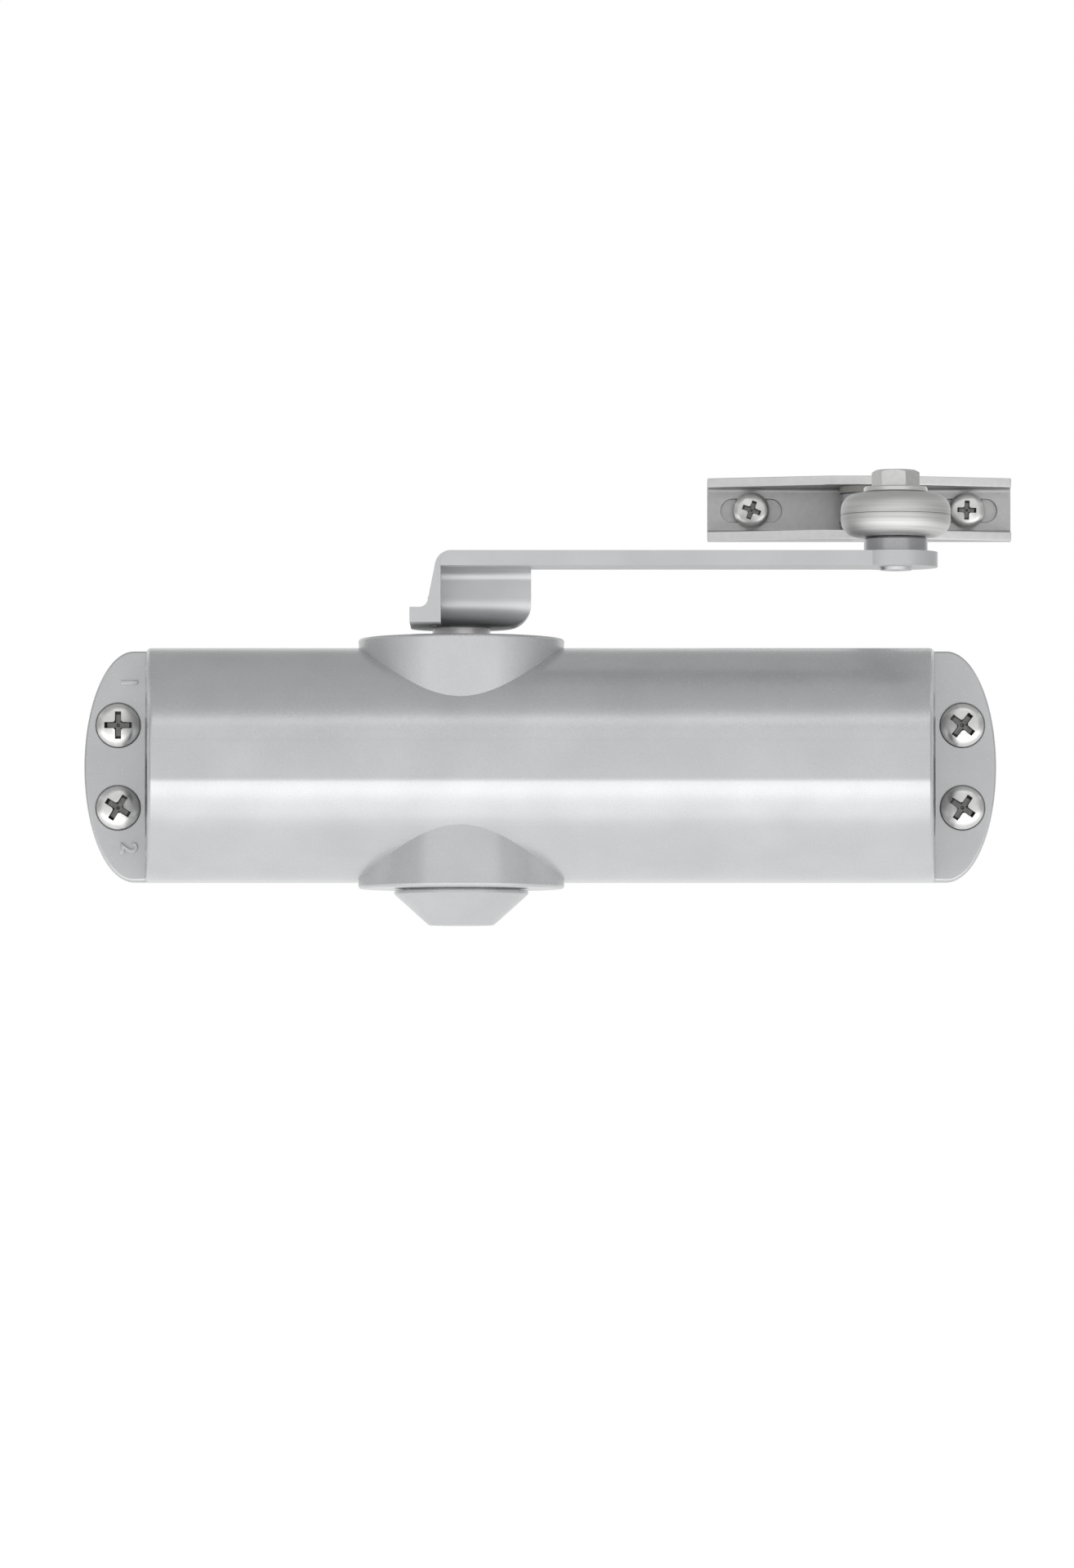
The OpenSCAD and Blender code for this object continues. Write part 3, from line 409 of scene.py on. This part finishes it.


# Return spring
# A coil of oiled spring steel between the piston and the right end plug.
coil = bpy.data.objects.new("return_spring_coil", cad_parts["return_spring"].data.copy())
coil.data.transform(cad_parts["return_spring"].matrix_world)
bpy.context.scene.collection.objects.link(coil)
weld = 0.004 * MM
pick(coil, "faces", lambda face: True)
bpy.ops.mesh.remove_doubles(threshold=weld)
close()
finish_piece(coil, "body", ["return_spring"], black_steel, 60)
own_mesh(coil)


# Bottom cap
# A pressed blunt cone that snaps onto the lower gland's collar and hides the pinion's spare
# square. It has the housing's enamel, and a thin gap shows between it and the boss.
cap_r, cap_tip_r, cap_h, cap_seat, cap_wall = 16.1 * MM, 7.8 * MM, 8.8 * MM, 0.4 * MM, 1.5 * MM
collar_r, collar_h, cap_ring_r = 12.02 * MM, 2.55 * MM, 13.42 * MM
cap_place = (boss_x, -axis_depth, boss_bottom)
cap = turned("cap_pressing", cap_place, (0, 0, -1), [
    (0, 0), (cap_ring_r, 0), (cap_ring_r, cap_seat),
    (cap_r - 0.2 * MM, cap_seat), (cap_r, cap_seat + 0.2 * MM), (cap_r, cap_seat + 0.8 * MM),
    (cap_r - 0.15 * MM, cap_seat + 1.05 * MM), (cap_tip_r + 0.25 * MM, cap_h - 0.25 * MM),
    (cap_tip_r - 0.3 * MM, cap_h), (0, cap_h)])
combine(cap, "DIFFERENCE", [turned("hollow", cap_place, (0, 0, -1), [
    (0, -past), (collar_r, -past), (collar_r, collar_h), (cap_tip_r - 0.4 * MM, cap_h - cap_wall),
    (0, cap_h - cap_wall)])])
finish_piece(cap, "body", ["bottom_cap"], enamel)


# Housing screws
# Four self-tapping pan-head screws of zinc-plated steel, with cross recesses pressed into their
# heads. The plating mirrors the room, and the recesses are painted darker as shade.
def pan_screw(name, place, head_r, head_h, shank_r, length, turn, cross):
    """A pan-head screw with its head's seat at place, driven along +Y. Its cross is turned by turn
    degrees and reaches out to cross times the head's radius."""
    tip, neck, side, crown = 2 * shank_r, shank_r - 0.3 * MM, 0.3 * head_h, 0.88 * head_h
    dome = [(head_r * (0.4 + 0.6 * math.cos(lean)), -side - (crown - side) * math.sin(lean))
            for lean in (0, 0.3, 0.6, 0.9, 1.2, math.pi / 2)]
    screw = turned(name, (0, 0, 0), (0, 0, 1), [
        (0, length), (0.3 * MM, length), (shank_r, length - tip), (shank_r, 0.1 * MM), (neck, 0),
        (head_r, 0), *dome, (head_r * 0.2, -0.97 * head_h), (0, -head_h)], 48)
    wing_reach, wing_half, wing_floor = head_r * cross * 1.1, head_r * 0.17, -head_h * 0.35
    above = -head_h - past
    cutters = []
    for quarter in range(2):
        wing = block("wing", (-wing_reach, -wing_half, above), (wing_reach, wing_half, wing_floor))
        pick(wing, "faces", lambda face: face.normal.z > 0.9)
        bpy.ops.transform.resize(value=(0.65, 0.6, 1), center_override=(0, 0, 0))
        close()
        wing.rotation_euler = (0, 0, math.radians(turn + 90 * quarter))
        cutters.append(settle(wing, "wing"))
    cutters.append(turned("middle", (0, 0, 0), (0, 0, 1), [
        (0, -head_h * 0.05), (head_r * 0.36, above), (0, above)], 24))
    combine(screw, "DIFFERENCE", cutters)
    screw.matrix_world = Matrix.Translation(Vector(place)) @ Matrix.Rotation(-math.pi / 2, 4, "X")
    return settle(screw, name)


# Zinc plating: bright and smooth, a little clouded.
zinc = machined("zinc_plate", "E2E2E1", "CACAC9", 0.3, 1.2 * MM)
# Plating in the recess: grey and dull, a painted shade for the hollow of the cross.
recess_shade_metal = machined("zinc_recess_shade", "8A8A89", "5E5E5D", 0.35, 0.8 * MM)


def shade_cross_recess(screw, place, head_r, head_h):
    """Paints shade into the cross: its faces that lie deep or stand steep get the darker recess
    metal.
    """
    reach, seat, steep = head_r * 0.78, 0.2 * MM, 0.75
    screw.data.materials.append(recess_shade_metal)
    for face in screw.data.polygons:
        off = face.center - Vector(place)
        if (math.hypot(off.x, off.z) < reach and off.y < -seat
                and (off.y > -head_h / 2 or abs(face.normal.y) < steep)):
            face.material_index = 1


head_r, head_h, shank_r, screw_len = 5.4 * MM, 3 * MM, 2.4 * MM, 25.8 * MM
for number, ((x, z), turn) in enumerate(zip(screw_places, (0, 32, 38, 34)), 1):
    place = (x, -ear_t + screw_seat_deep, z)
    screw = pan_screw(f"housing_screw_{number}", place, head_r, head_h, shank_r, screw_len,
                      turn, 0.68)
    finish_piece(screw, "body", ["housing_screws"], zinc)
    # The cross recess takes the painted shade.
    shade_cross_recess(screw, place, head_r, head_h)


# Main arm
# A steel bar with an eye, forged with a crank: its foot sits on the pinion's square, a web rises
# in front of the arm screw, and a wall closes the crank's left end. Its enamel is the housing's.
def soften(piece, width, limit=35):
    """Rounds every edge sharper than limit degrees. Blender narrows all of them to what the
    shortest edges leave room for, and on the arm that is next to nothing."""
    pick(piece, "faces", lambda face: True)
    bpy.ops.mesh.remove_doubles(threshold=weld)
    bpy.ops.mesh.dissolve_limited(angle_limit=math.radians(0.4))
    close()
    edge = piece.modifiers.new("edge", "BEVEL")
    edge.width, edge.segments, edge.angle_limit = width, 2, math.radians(limit)
    only(piece)
    bpy.ops.object.modifier_apply(modifier=edge.name)


# The same enamel, sprayed thinner on the forging: duller and a shade darker.
arm_enamel = silver_enamel("arm_enamel", "C6C7C8", "BABBBC", 0.38, 0.5)
pinion_x, pinion_y, foot_z, arm_t, foot_r = boss_x, -axis_depth, 32.7 * MM, 3.6 * MM, 12.1 * MM
crank_rise, bend_r, web_back, bar_w = 13.5 * MM, 3 * MM, 11.8 * MM, 16.2 * MM
web_left, web_right = pinion_x - 8.8 * MM, pinion_x + 16.8 * MM
wall_right, wall_lean, foot_back = pinion_x - 4.7 * MM, 3.4 * MM, pinion_y + 4.7 * MM
outer_r, bar_z = bend_r + arm_t, foot_z + crank_rise
bar_top, web_y = bar_z + arm_t, pinion_y - web_back
front_y, bend_y = web_y - bar_w, web_y + bend_r
elbow_x, elbow_y, eye_r = pinion_x + 103.8 * MM, web_y - bar_w / 2, 10 * MM
foot_left, square, rivet_r, arm_edge = pinion_x - 5.8 * MM, 5.05 * MM, 3.8 * MM, 0.35 * MM

arm = block("arm_forging", (web_left, bend_y, foot_z), (web_right, foot_back, foot_z + arm_t))
lean = math.atan2(bend_y - pinion_y, web_right - pinion_x)
lean += math.acos(foot_r / math.hypot(bend_y - pinion_y, web_right - pinion_x))
toward = Vector((math.cos(lean), math.sin(lean), 0))
halve(arm, Vector((pinion_x, pinion_y, 0)) + foot_r * toward, toward)
pick(arm, "faces", lambda face: face.normal.y < -0.99)
bpy.ops.mesh.spin(
    steps=10, angle=math.pi / 2, center=(0, bend_y, foot_z + outer_r), axis=(1, 0, 0))
bpy.ops.mesh.extrude_region_move(
    TRANSFORM_OT_translate={"value": (0, 0, crank_rise + arm_t - 2 * outer_r)})
bpy.ops.mesh.spin(
    steps=10, angle=-math.pi / 2, center=(0, web_y - outer_r, bar_z - bend_r), axis=(1, 0, 0))
bpy.ops.mesh.extrude_region_move(TRANSFORM_OT_translate={"value": (0, outer_r - bar_w, 0)})
bpy.ops.mesh.select_all(action="SELECT")
bpy.ops.mesh.remove_doubles(threshold=near)
bpy.ops.mesh.normals_make_consistent(inside=False)
close()
combine(arm, "UNION", [
    block("wall", (web_left, front_y, foot_z), (wall_right, web_y - arm_t / 2, bar_top))])
outline = block("outline", (web_left, front_y - past, foot_z), (web_right, 0, bar_top))
pick(outline, "verts", lambda vert: vert.co.x < web_left + near and vert.co.z > bar_z)
bpy.ops.transform.translate(value=(wall_lean, 0, 0))
for left, high_up, radius in [(True, True, 3 * MM), (False, False, 5 * MM)]:
    pick(outline, "edges", lambda edge: all(
        (v.co.x < pinion_x) == left and (v.co.z > bar_z) == high_up for v in edge.verts))
    bpy.ops.mesh.bevel(offset=radius, segments=8)
    close()
combine(arm, "INTERSECT", [outline])
foot = turned("foot", (pinion_x, pinion_y, foot_z), (0, 0, 1),
              [(0, 0), (foot_r, 0), (foot_r, arm_t), (0, arm_t)])
combine(foot, "DIFFERENCE", [
    block("front", (foot_left, pinion_y - 2 * foot_r, foot_z - past),
          (pinion_x + 2 * foot_r, bend_y, foot_z + 2 * arm_t))])
fillet_x, fillet_r = web_left - 0.95 * MM, 2 * MM
fillet = block("fillet", (web_left - 1.0 * MM, front_y, foot_z + 3 * MM),
               (web_left + 1.5 * MM, pinion_y, foot_z + 6 * MM))
combine(fillet, "DIFFERENCE", [
    rod("round", (fillet_x, front_y - past, foot_z + arm_t + fillet_r),
        (fillet_x, 0, foot_z + arm_t + fillet_r), fillet_r)])
combine(arm, "UNION", [
    fillet,
    block("tab", (pinion_x - foot_r, front_y, foot_z), (web_left + past, pinion_y, foot_z + arm_t)),
    foot,
    block("bar", (pinion_x, front_y, bar_z), (elbow_x, front_y + bar_w, bar_top)),
    turned("eye", (elbow_x, elbow_y, bar_z), (0, 0, 1),
           [(0, 0), (eye_r, 0), (eye_r, arm_t), (0, arm_t)])])
combine(arm, "DIFFERENCE", [
    block("square", (pinion_x - square, pinion_y - square, foot_z - past),
          (pinion_x + square, pinion_y + square, foot_z + arm_t + past)),
    rod("rivet_hole", (elbow_x, elbow_y, bar_z - past), (elbow_x, elbow_y, bar_top + past),
        rivet_r, 48)])
soften(arm, arm_edge)
finish_piece(arm, "main_arm", ["main_arm"], arm_enamel)


# Arm screw and washer
# A hexagon screw, zinc plated, that draws the arm's foot onto the pinion's square, with its
# stamped washer.
def washer(name, place, outer, thick, node):
    """A flat washer lying at place, its edges rounded. It goes with the main arm."""
    inner, edge = 3.2 * MM, 0.3 * MM
    piece = turned(name, place, (0, 0, 1), [
        (inner, 0), (outer - edge, 0), (outer, edge), (outer, thick - edge),
        (outer - edge, thick), (inner + edge, thick), (inner, thick - edge), (inner, 0)])
    finish_piece(piece, "main_arm", [node], ring_steel)


def hexagon_screw(name, place, length, turn, node):
    """A hexagon screw with its head's seat at place: six flats, cut back by a cone at the top. It
    goes with the main arm."""
    across, head, crown_h, crown_inset = 10 * MM, 4 * MM, 1.2 * MM, 0.2 * MM
    shank, beyond = 2.98 * MM, 7 * MM
    screw = rod(name, (0, 0, 0), (0, 0, head), across / math.sqrt(3), 6)
    screw.rotation_euler = (0, 0, math.radians(turn))
    settle(screw, name)
    top_r = across / 2 - crown_inset
    combine(screw, "INTERSECT", [turned("crown", (0, 0, 0), (0, 0, 1), [
        (0, -past), (beyond, -past), (beyond, head - crown_h), (top_r, head),
        (top_r, head + past), (0, head + past)], 72)])
    soften(screw, 0.15 * MM, 40)
    combine(screw, "UNION", [turned("shank", (0, 0, 0), (0, 0, -1), [
        (0, -0.5 * MM), (shank, -0.5 * MM), (shank, length - 0.6 * MM),
        (shank - 0.6 * MM, length), (0, length)], 48)])
    screw.location = place
    finish_piece(settle(screw, name), "main_arm", [node], zinc)


arm_washer_t = 1.5 * MM
washer("arm_washer_plate", (pinion_x, pinion_y, foot_z + arm_t), 8 * MM, arm_washer_t,
       "arm_washer")
hexagon_screw("arm_hexagon_screw", (pinion_x, pinion_y, foot_z + arm_t + arm_washer_t),
              13 * MM, 20, "arm_screw")


# Elbow pivot
# A turned steel pivot riveted into the arm's eye. Its shoulder carries the knuckle, and it is
# tapped for the elbow bolt.
shoulder_r, shoulder_h, knuckle_h, side_gap = 7.6 * MM, 3.5 * MM, 10.4 * MM, 0.15 * MM
pivot_r, thread_r, rivet_rise = 5 * MM, 3 * MM, 0.7 * MM
shoulder_z = bar_top + shoulder_h
knuckle_z = shoulder_z + side_gap
washer_z = knuckle_z + knuckle_h + side_gap
pivot = turned("elbow_pivot_turning", (elbow_x, elbow_y, 0), (0, 0, 1), [
    (0, bar_z - 0.4 * MM), (2.4 * MM, bar_z - rivet_rise), (rivet_r, bar_z - rivet_rise),
    (4.1 * MM, bar_z), (3.78 * MM, bar_z), (3.78 * MM, bar_top), (shoulder_r - 0.2 * MM, bar_top),
    (shoulder_r, bar_top + 0.2 * MM), (shoulder_r, shoulder_z - 0.5 * MM),
    (shoulder_r - 0.5 * MM, shoulder_z), (pivot_r, shoulder_z), (pivot_r, washer_z),
    (thread_r, washer_z), (thread_r, washer_z - 9.5 * MM), (0, washer_z - 9.8 * MM)])
finish_piece(pivot, "main_arm", ["elbow_pivot"], pivot_steel)


# Elbow knuckle
# A ring turned from bright steel in two shells that meet in a fine seam, with tool marks around
# it. The forearm's stub and spigot stand out from its back.
# Its steel: light and satin, with fine rings all the way round.
knuckle_steel = machined("turned_knuckle", "DEDEDD", "B4B4B3", 0.52, 0.55 * MM, 0.02)
knuckle_r, knuckle_round, seam, bush_r = 13.1 * MM, 4 * MM, 0.1 * MM, 6 * MM
middle = knuckle_h / 2
knuckle = turned("knuckle_ring", (elbow_x, elbow_y, knuckle_z), (0, 0, 1), [
    (bush_r, 0),
    *rounded(knuckle_r - knuckle_round, knuckle_round, knuckle_round, -90, 0, 10),
    (knuckle_r, middle - seam), (knuckle_r - 2 * seam, middle), (knuckle_r, middle + seam),
    *rounded(knuckle_r - knuckle_round, knuckle_h - knuckle_round, knuckle_round, 0, 90, 10),
    (bush_r, knuckle_h), (bush_r, 0)], 128)
forearm_rise, forearm_run = 17.6 * MM, 217.5 * MM
knuckle_mid = Vector((elbow_x, elbow_y, knuckle_z + middle))
forearm = Vector((0, forearm_run, forearm_rise)).normalized()
tube_r, tube_start, tube_end = 5.2 * MM, 17.1 * MM, 125.1 * MM
stub_start, spigot_r, spigot_end = 8.2 * MM, 3.48 * MM, tube_start + 12 * MM
stub = turned("stub", knuckle_mid, forearm, [
    (0, stub_start), (tube_r, stub_start), (tube_r, tube_start), (spigot_r, tube_start),
    (spigot_r, spigot_end), (0, spigot_end)], 64)
combine(knuckle, "UNION", [stub])
finish_piece(knuckle, "forearm_tube", ["elbow_knuckle"], knuckle_steel)


# Elbow washer and bolt
# A steel washer and a shorter hexagon screw, of the same make as the arm's. The screw is driven
# into the pivot, and both hold the knuckle down on its shoulder.
elbow_washer_t = 1.4 * MM
washer("elbow_washer_plate", (elbow_x, elbow_y, washer_z), shoulder_r, elbow_washer_t,
       "elbow_washer")
hexagon_screw("elbow_hexagon_bolt", (elbow_x, elbow_y, washer_z + elbow_washer_t), 9 * MM, 22,
              "elbow_bolt")


# Forearm tube and clamp screw
# A drawn steel tube with the arm's enamel, faced at both ends, and the small socket screw that
# clamps the rod in it.
tube_bore_r, face_edge = 3.55 * MM, 0.3 * MM
tube = turned("forearm_tube_drawing", knuckle_mid, forearm, [
    (tube_bore_r, tube_start), (tube_r - face_edge, tube_start), (tube_r, tube_start + face_edge),
    (tube_r, tube_end - face_edge), (tube_r - face_edge, tube_end), (tube_bore_r, tube_end),
    (tube_bore_r, tube_start)], 64)
clamp_at = knuckle_mid + forearm * (tube_end - 9 * MM)
above = Vector((1, 0, 0)).cross(forearm)
combine(tube, "DIFFERENCE", [
    rod("clamp_hole", clamp_at + above * MM, clamp_at + above * 7 * MM, 2 * MM, 32)])
finish_piece(tube, "forearm_tube", ["forearm_tube"], arm_enamel)
clamp = turned("clamp_socket_screw", clamp_at, above, [
    (0, 3.62 * MM), (1.6 * MM, 3.62 * MM), (1.98 * MM, 4 * MM), (1.98 * MM, 5.9 * MM),
    (1.8 * MM, 6.1 * MM), (0, 6.1 * MM)], 32)
combine(clamp, "DIFFERENCE", [
    rod("socket", clamp_at + above * 4.9 * MM, clamp_at + above * 7 * MM, 1.15 * MM, 6)])
finish_piece(clamp, "forearm_tube", ["clamp_screw"], black_steel)


# Forearm rod
# A ground steel rod that slides in the tube to set the forearm's length, with a turned eye for
# the pin.
pin_place = Vector((elbow_x, elbow_y + forearm_run, knuckle_mid.z + forearm_rise))
rod_r, rod_start, rod_edge, rod_eye_r, rod_eye_h = 3.5 * MM, 63.1 * MM, 0.4 * MM, 5.6 * MM, 8 * MM
forearm_len, eye_bore_r = math.hypot(forearm_run, forearm_rise), 4 * MM
slide = turned("forearm_rod_turning", knuckle_mid, forearm, [
    (0, rod_start), (rod_r - rod_edge, rod_start), (rod_r, rod_start + rod_edge),
    (rod_r, forearm_len), (0, forearm_len)], 48)
combine(slide, "UNION", [turned("rod_eye", pin_place, (0, 0, 1), [
    (0, -rod_eye_h / 2), (rod_eye_r - rod_edge, -rod_eye_h / 2),
    (rod_eye_r, rod_edge - rod_eye_h / 2), (rod_eye_r, rod_eye_h / 2 - rod_edge),
    (rod_eye_r - rod_edge, rod_eye_h / 2), (0, rod_eye_h / 2)], 64)])
through = Vector((0, 0, 6 * MM))
combine(slide, "DIFFERENCE", [
    rod("eye_bore", pin_place - through, pin_place + through, eye_bore_r, 48)])
finish_piece(slide, "forearm_rod", ["forearm_rod"], pivot_steel)


# Frame bracket
# A channel folded from zinc-plated strip. Its lips deepen towards the pin, and each screw sits in
# an oval recess.
# Plated strip: duller than the screws. Its lips' front faces, which face the light, get a lighter
# copy of it as a painted highlight.
bracket_zinc = machined("bracket_zinc", "C4C4C4", "B2B2B2", 0.5, 1.6 * MM)
lit_lip_zinc = machined("lip_zinc_painted_light", "E4E4E4", "D2D2D2", 0.4, 1.6 * MM)
shoe_len, shoe_h, shoe_t = 80.6 * MM, 16.7 * MM, 2.4 * MM
lip_end, lip_mid, lug_half, pin_back = 3.6 * MM, 13 * MM, 9 * MM, 7.2 * MM
slot_pitch, slot_len, slot_w, slot_deep = 57.2 * MM, 16.2 * MM, 6.3 * MM, 1.3 * MM
pin_r, pin_gap, shoe_hole_r, shoe_edge = 3 * MM, 0.02 * MM, 2.4 * MM, 0.25 * MM
shoe_x, plate_y, shoe_z = pin_place.x, pin_place.y + pin_back, pin_place.z
bracket = block("bracket_folding", (shoe_x - shoe_len / 2, plate_y - lip_mid, shoe_z - shoe_h / 2),
                (shoe_x + shoe_len / 2, plate_y + shoe_t, shoe_z + shoe_h / 2))
combine(bracket, "DIFFERENCE", [block(
    "channel", (shoe_x - shoe_len, plate_y - 2 * lip_mid, shoe_z - shoe_h / 2 + shoe_t),
    (shoe_x + shoe_len, plate_y, shoe_z + shoe_h / 2 - shoe_t))])
run, deepen = shoe_len / 2 - lug_half, lip_mid - lip_end
for side in (-1, 1):
    halve(bracket, (shoe_x + side * lug_half, plate_y - lip_mid, 0), (side * deepen, -run, 0))
folds = [(shoe_h / 2 - shoe_t, plate_y, 1.2 * MM), (shoe_h / 2, plate_y + shoe_t, 2.2 * MM)]
for half_height, y, radius in folds:
    pick(bracket, "edges", lambda edge: abs(edge.verts[0].co.x - edge.verts[1].co.x) > MM and all(
        abs(abs(v.co.z - shoe_z) - half_height) < near and abs(v.co.y - y) < near
        for v in edge.verts))
    bpy.ops.mesh.bevel(offset=radius, segments=5)
    close()
through = Vector((0, 0, shoe_h))
cuts = [rod("pin_hole", pin_place - through, pin_place + through, pin_r + pin_gap, 48)]
for side in (-1, 1):
    slot_x = shoe_x + side * slot_pitch / 2
    left_x = slot_x - (slot_len - slot_w) / 2
    recess = rod("slot_recess", (left_x, plate_y - past, shoe_z),
                 (left_x, plate_y + slot_deep, shoe_z), slot_w / 2, 48)
    pick(recess, "verts", lambda vert: vert.co.x > left_x - near)
    bpy.ops.transform.translate(value=(slot_len - slot_w, 0, 0))
    close()
    cuts += [recess, rod("screw_hole", (slot_x, plate_y - past, shoe_z),
                         (slot_x, plate_y + 4 * MM, shoe_z), shoe_hole_r, 32)]
combine(bracket, "DIFFERENCE", cuts)
soften(bracket, shoe_edge)
finish_piece(bracket, "shoe", ["shoe_bracket"], bracket_zinc)
# The lips' front faces take the lighter copy: a painted highlight.
bracket.data.materials.append(lit_lip_zinc)
for face in bracket.data.polygons:
    on_lip = abs(face.center.z - shoe_z) > shoe_h / 2 - shoe_t and face.center.y < plate_y - MM
    if on_lip and face.normal.y < -0.3:
        face.material_index = 1


# Bracket pin
# A plain pin of turned and ground steel with chamfered ends. It is pressed into both lips, and the
# rod's eye turns on it.
pin_edge, pin_half = 0.3 * MM, shoe_h / 2
pin = turned("bracket_pin_turning", pin_place, (0, 0, 1), [
    (0, -pin_half), (pin_r - pin_edge, -pin_half), (pin_r, pin_edge - pin_half),
    (pin_r, pin_half - pin_edge), (pin_r - pin_edge, pin_half), (0, pin_half)], 48)
finish_piece(pin, "shoe", ["shoe_pin"], pivot_steel)


# Bracket screws
# Two smaller pan-head screws of zinc-plated steel, made like the housing's. They hold the bracket
# to the door's frame.
shoe_head_r, shoe_head_h, shoe_shank_r, shoe_screw_len = 4.8 * MM, 2.6 * MM, 2.1 * MM, 20.4 * MM
for number, (side, turn) in enumerate(((-1, 20), (1, 2)), 1):
    place = (shoe_x + side * slot_pitch / 2, plate_y, shoe_z)
    screw = pan_screw(f"bracket_screw_{number}", place, shoe_head_r, shoe_head_h, shoe_shank_r,
                      shoe_screw_len, turn, 0.58)
    finish_piece(screw, "shoe", ["shoe_screws"], zinc)
    # The cross recess takes the painted shade.
    shade_cross_recess(screw, place, shoe_head_r, shoe_head_h)


# Floor and backdrop
# A plain pale floor below the closer, and a white room around it. The camera, gloss and glass see
# both as white, and the closer is lit at a plain level.
floor_z, floor_size, white, room_level = -200 * MM, 12, (1, 1, 1, 1), 0.55
bpy.ops.object.select_all(action="DESELECT")
bpy.ops.mesh.primitive_plane_add(size=floor_size, location=(0, 0, floor_z))
floor = bpy.context.object
floor.name = "floor"
made, tree, output = new_material("pale_floor")
path = add_node(tree, "ShaderNodeLightPath")
seen = add_node(tree, "ShaderNodeMath", {"operation": "MAXIMUM"},
                {0: (path, "Is Glossy Ray"), 1: (path, "Is Transmission Ray")})
matt = add_node(tree, "ShaderNodeBsdfDiffuse", {"Color": linear("F4F4F4")})
lift = add_node(tree, "ShaderNodeEmission", {"Color": white},
                {"Strength": (path, "Is Camera Ray")})
lifted = add_node(tree, "ShaderNodeAddShader", {}, {0: (matt, 0), 1: (lift, 0)})
mirrored = add_node(tree, "ShaderNodeEmission", {"Color": white, "Strength": 1.0})
mixed = add_node(tree, "ShaderNodeMixShader", {}, {0: (seen, 0), 1: (lifted, 0), 2: (mirrored, 0)})
tree.links.new(mixed.outputs[0], output.inputs["Surface"])
floor.data.materials.append(made)

world = bpy.data.worlds.new("studio")
world.use_nodes = True
bpy.context.scene.world = world
tree = world.node_tree
tree.nodes.clear()
path = add_node(tree, "ShaderNodeLightPath")
direct = add_node(tree, "ShaderNodeMath", {"operation": "MAXIMUM"},
                  {0: (path, "Is Camera Ray"), 1: (path, "Is Glossy Ray")})
seen = add_node(tree, "ShaderNodeMath", {"operation": "MAXIMUM"},
                {0: (direct, 0), 1: (path, "Is Transmission Ray")})
room = add_node(tree, "ShaderNodeMapRange", {"To Min": room_level, "To Max": 1.0},
                {"Value": (seen, 0)})
sky = add_node(tree, "ShaderNodeBackground", {"Color": white}, {"Strength": (room, 0)})
add_node(tree, "ShaderNodeOutputWorld", {}, {"Surface": (sky, 0)})


# Lamp
# One soft box above and in front of the closer. It gives the gentle shade under the boss, and is
# out of the camera's sight.
top_box = bpy.data.lights.new("top_box", "AREA")
top_box.shape, top_box.size, top_box.size_y, top_box.energy = "RECTANGLE", 1.2, 0.8, 6.0
holder = bpy.data.objects.new("top_box", top_box)
bpy.context.scene.collection.objects.link(holder)
holder.location = (0.1, -0.5, 0.9)
holder.visible_camera = False
holder.rotation_euler = (-holder.location).to_track_quat("-Z", "Y").to_euler()


# Cards
# Glowing cards around the closer, out of the camera's sight. The low ones in front draw the bright
# lower band on the enamel, and the others keep the metal from mirroring a bare white room.
# Each has its place, its size and its strength.
cards = [
    ("ceiling_card", (0, 0.1, 0.75), (2.4, 2.4), 0.5),
    ("low_front_card", (0, -0.52, -0.19), (1.6, 0.42), 2.3),
    ("near_card", (0, -0.23, -0.191), (1.6, 0.15), 1.5),
    ("floor_card", (0, -0.24, -0.195), (1.6, 0.6), 1.0),
    ("front_card", (0, -1.5, 0.1), (2.4, 0.9), 0.86),
    ("left_card", (-1.3, 0, 0.1), (2.8, 1.0), 0.5),
    ("right_card", (1.3, 0, 0.1), (2.8, 1.0), 0.5),
]
for name, (x, y, z), (width, depth), strength in cards:
    bpy.ops.object.select_all(action="DESELECT")
    bpy.ops.mesh.primitive_plane_add(size=1, location=(x, y, z))
    card = bpy.context.object
    card.name = name
    card.scale = (width, depth, 1)
    if name == "ceiling_card":
        card.rotation_euler = (math.pi, 0, 0)
    elif name in ("front_card", "left_card", "right_card"):
        card.rotation_euler = Vector((-x, -y, 0)).to_track_quat("Z", "Y").to_euler()
    made, tree, output = new_material(name)
    glow = add_node(tree, "ShaderNodeEmission", {"Color": white, "Strength": strength})
    tree.links.new(glow.outputs[0], output.inputs["Surface"])
    card.data.materials.append(made)
    card.visible_camera = False


# Camera
# A long lens, 2 m in front of the closer and a little below it, as the photograph was taken.
sensor, image_height, focal_pixels = 36, 1920, 10108.7
camera_data = bpy.data.cameras.new("camera")
camera = bpy.data.objects.new("camera", camera_data)
bpy.context.scene.collection.objects.link(camera)
camera_place = Vector((-0.79, -2005.39, -84.48)) * MM
camera_aim = Vector((-0.79, -7.0, -4.22)) * MM
camera.location = camera_place
camera.rotation_euler = (camera_aim - camera_place).to_track_quat("-Z", "Y").to_euler()
camera_data.sensor_width = sensor
camera_data.lens = focal_pixels / image_height * sensor
camera_data.clip_start, camera_data.clip_end = 0.05, 50
bpy.context.scene.camera = camera
bpy.context.scene.view_settings.view_transform = "Standard"
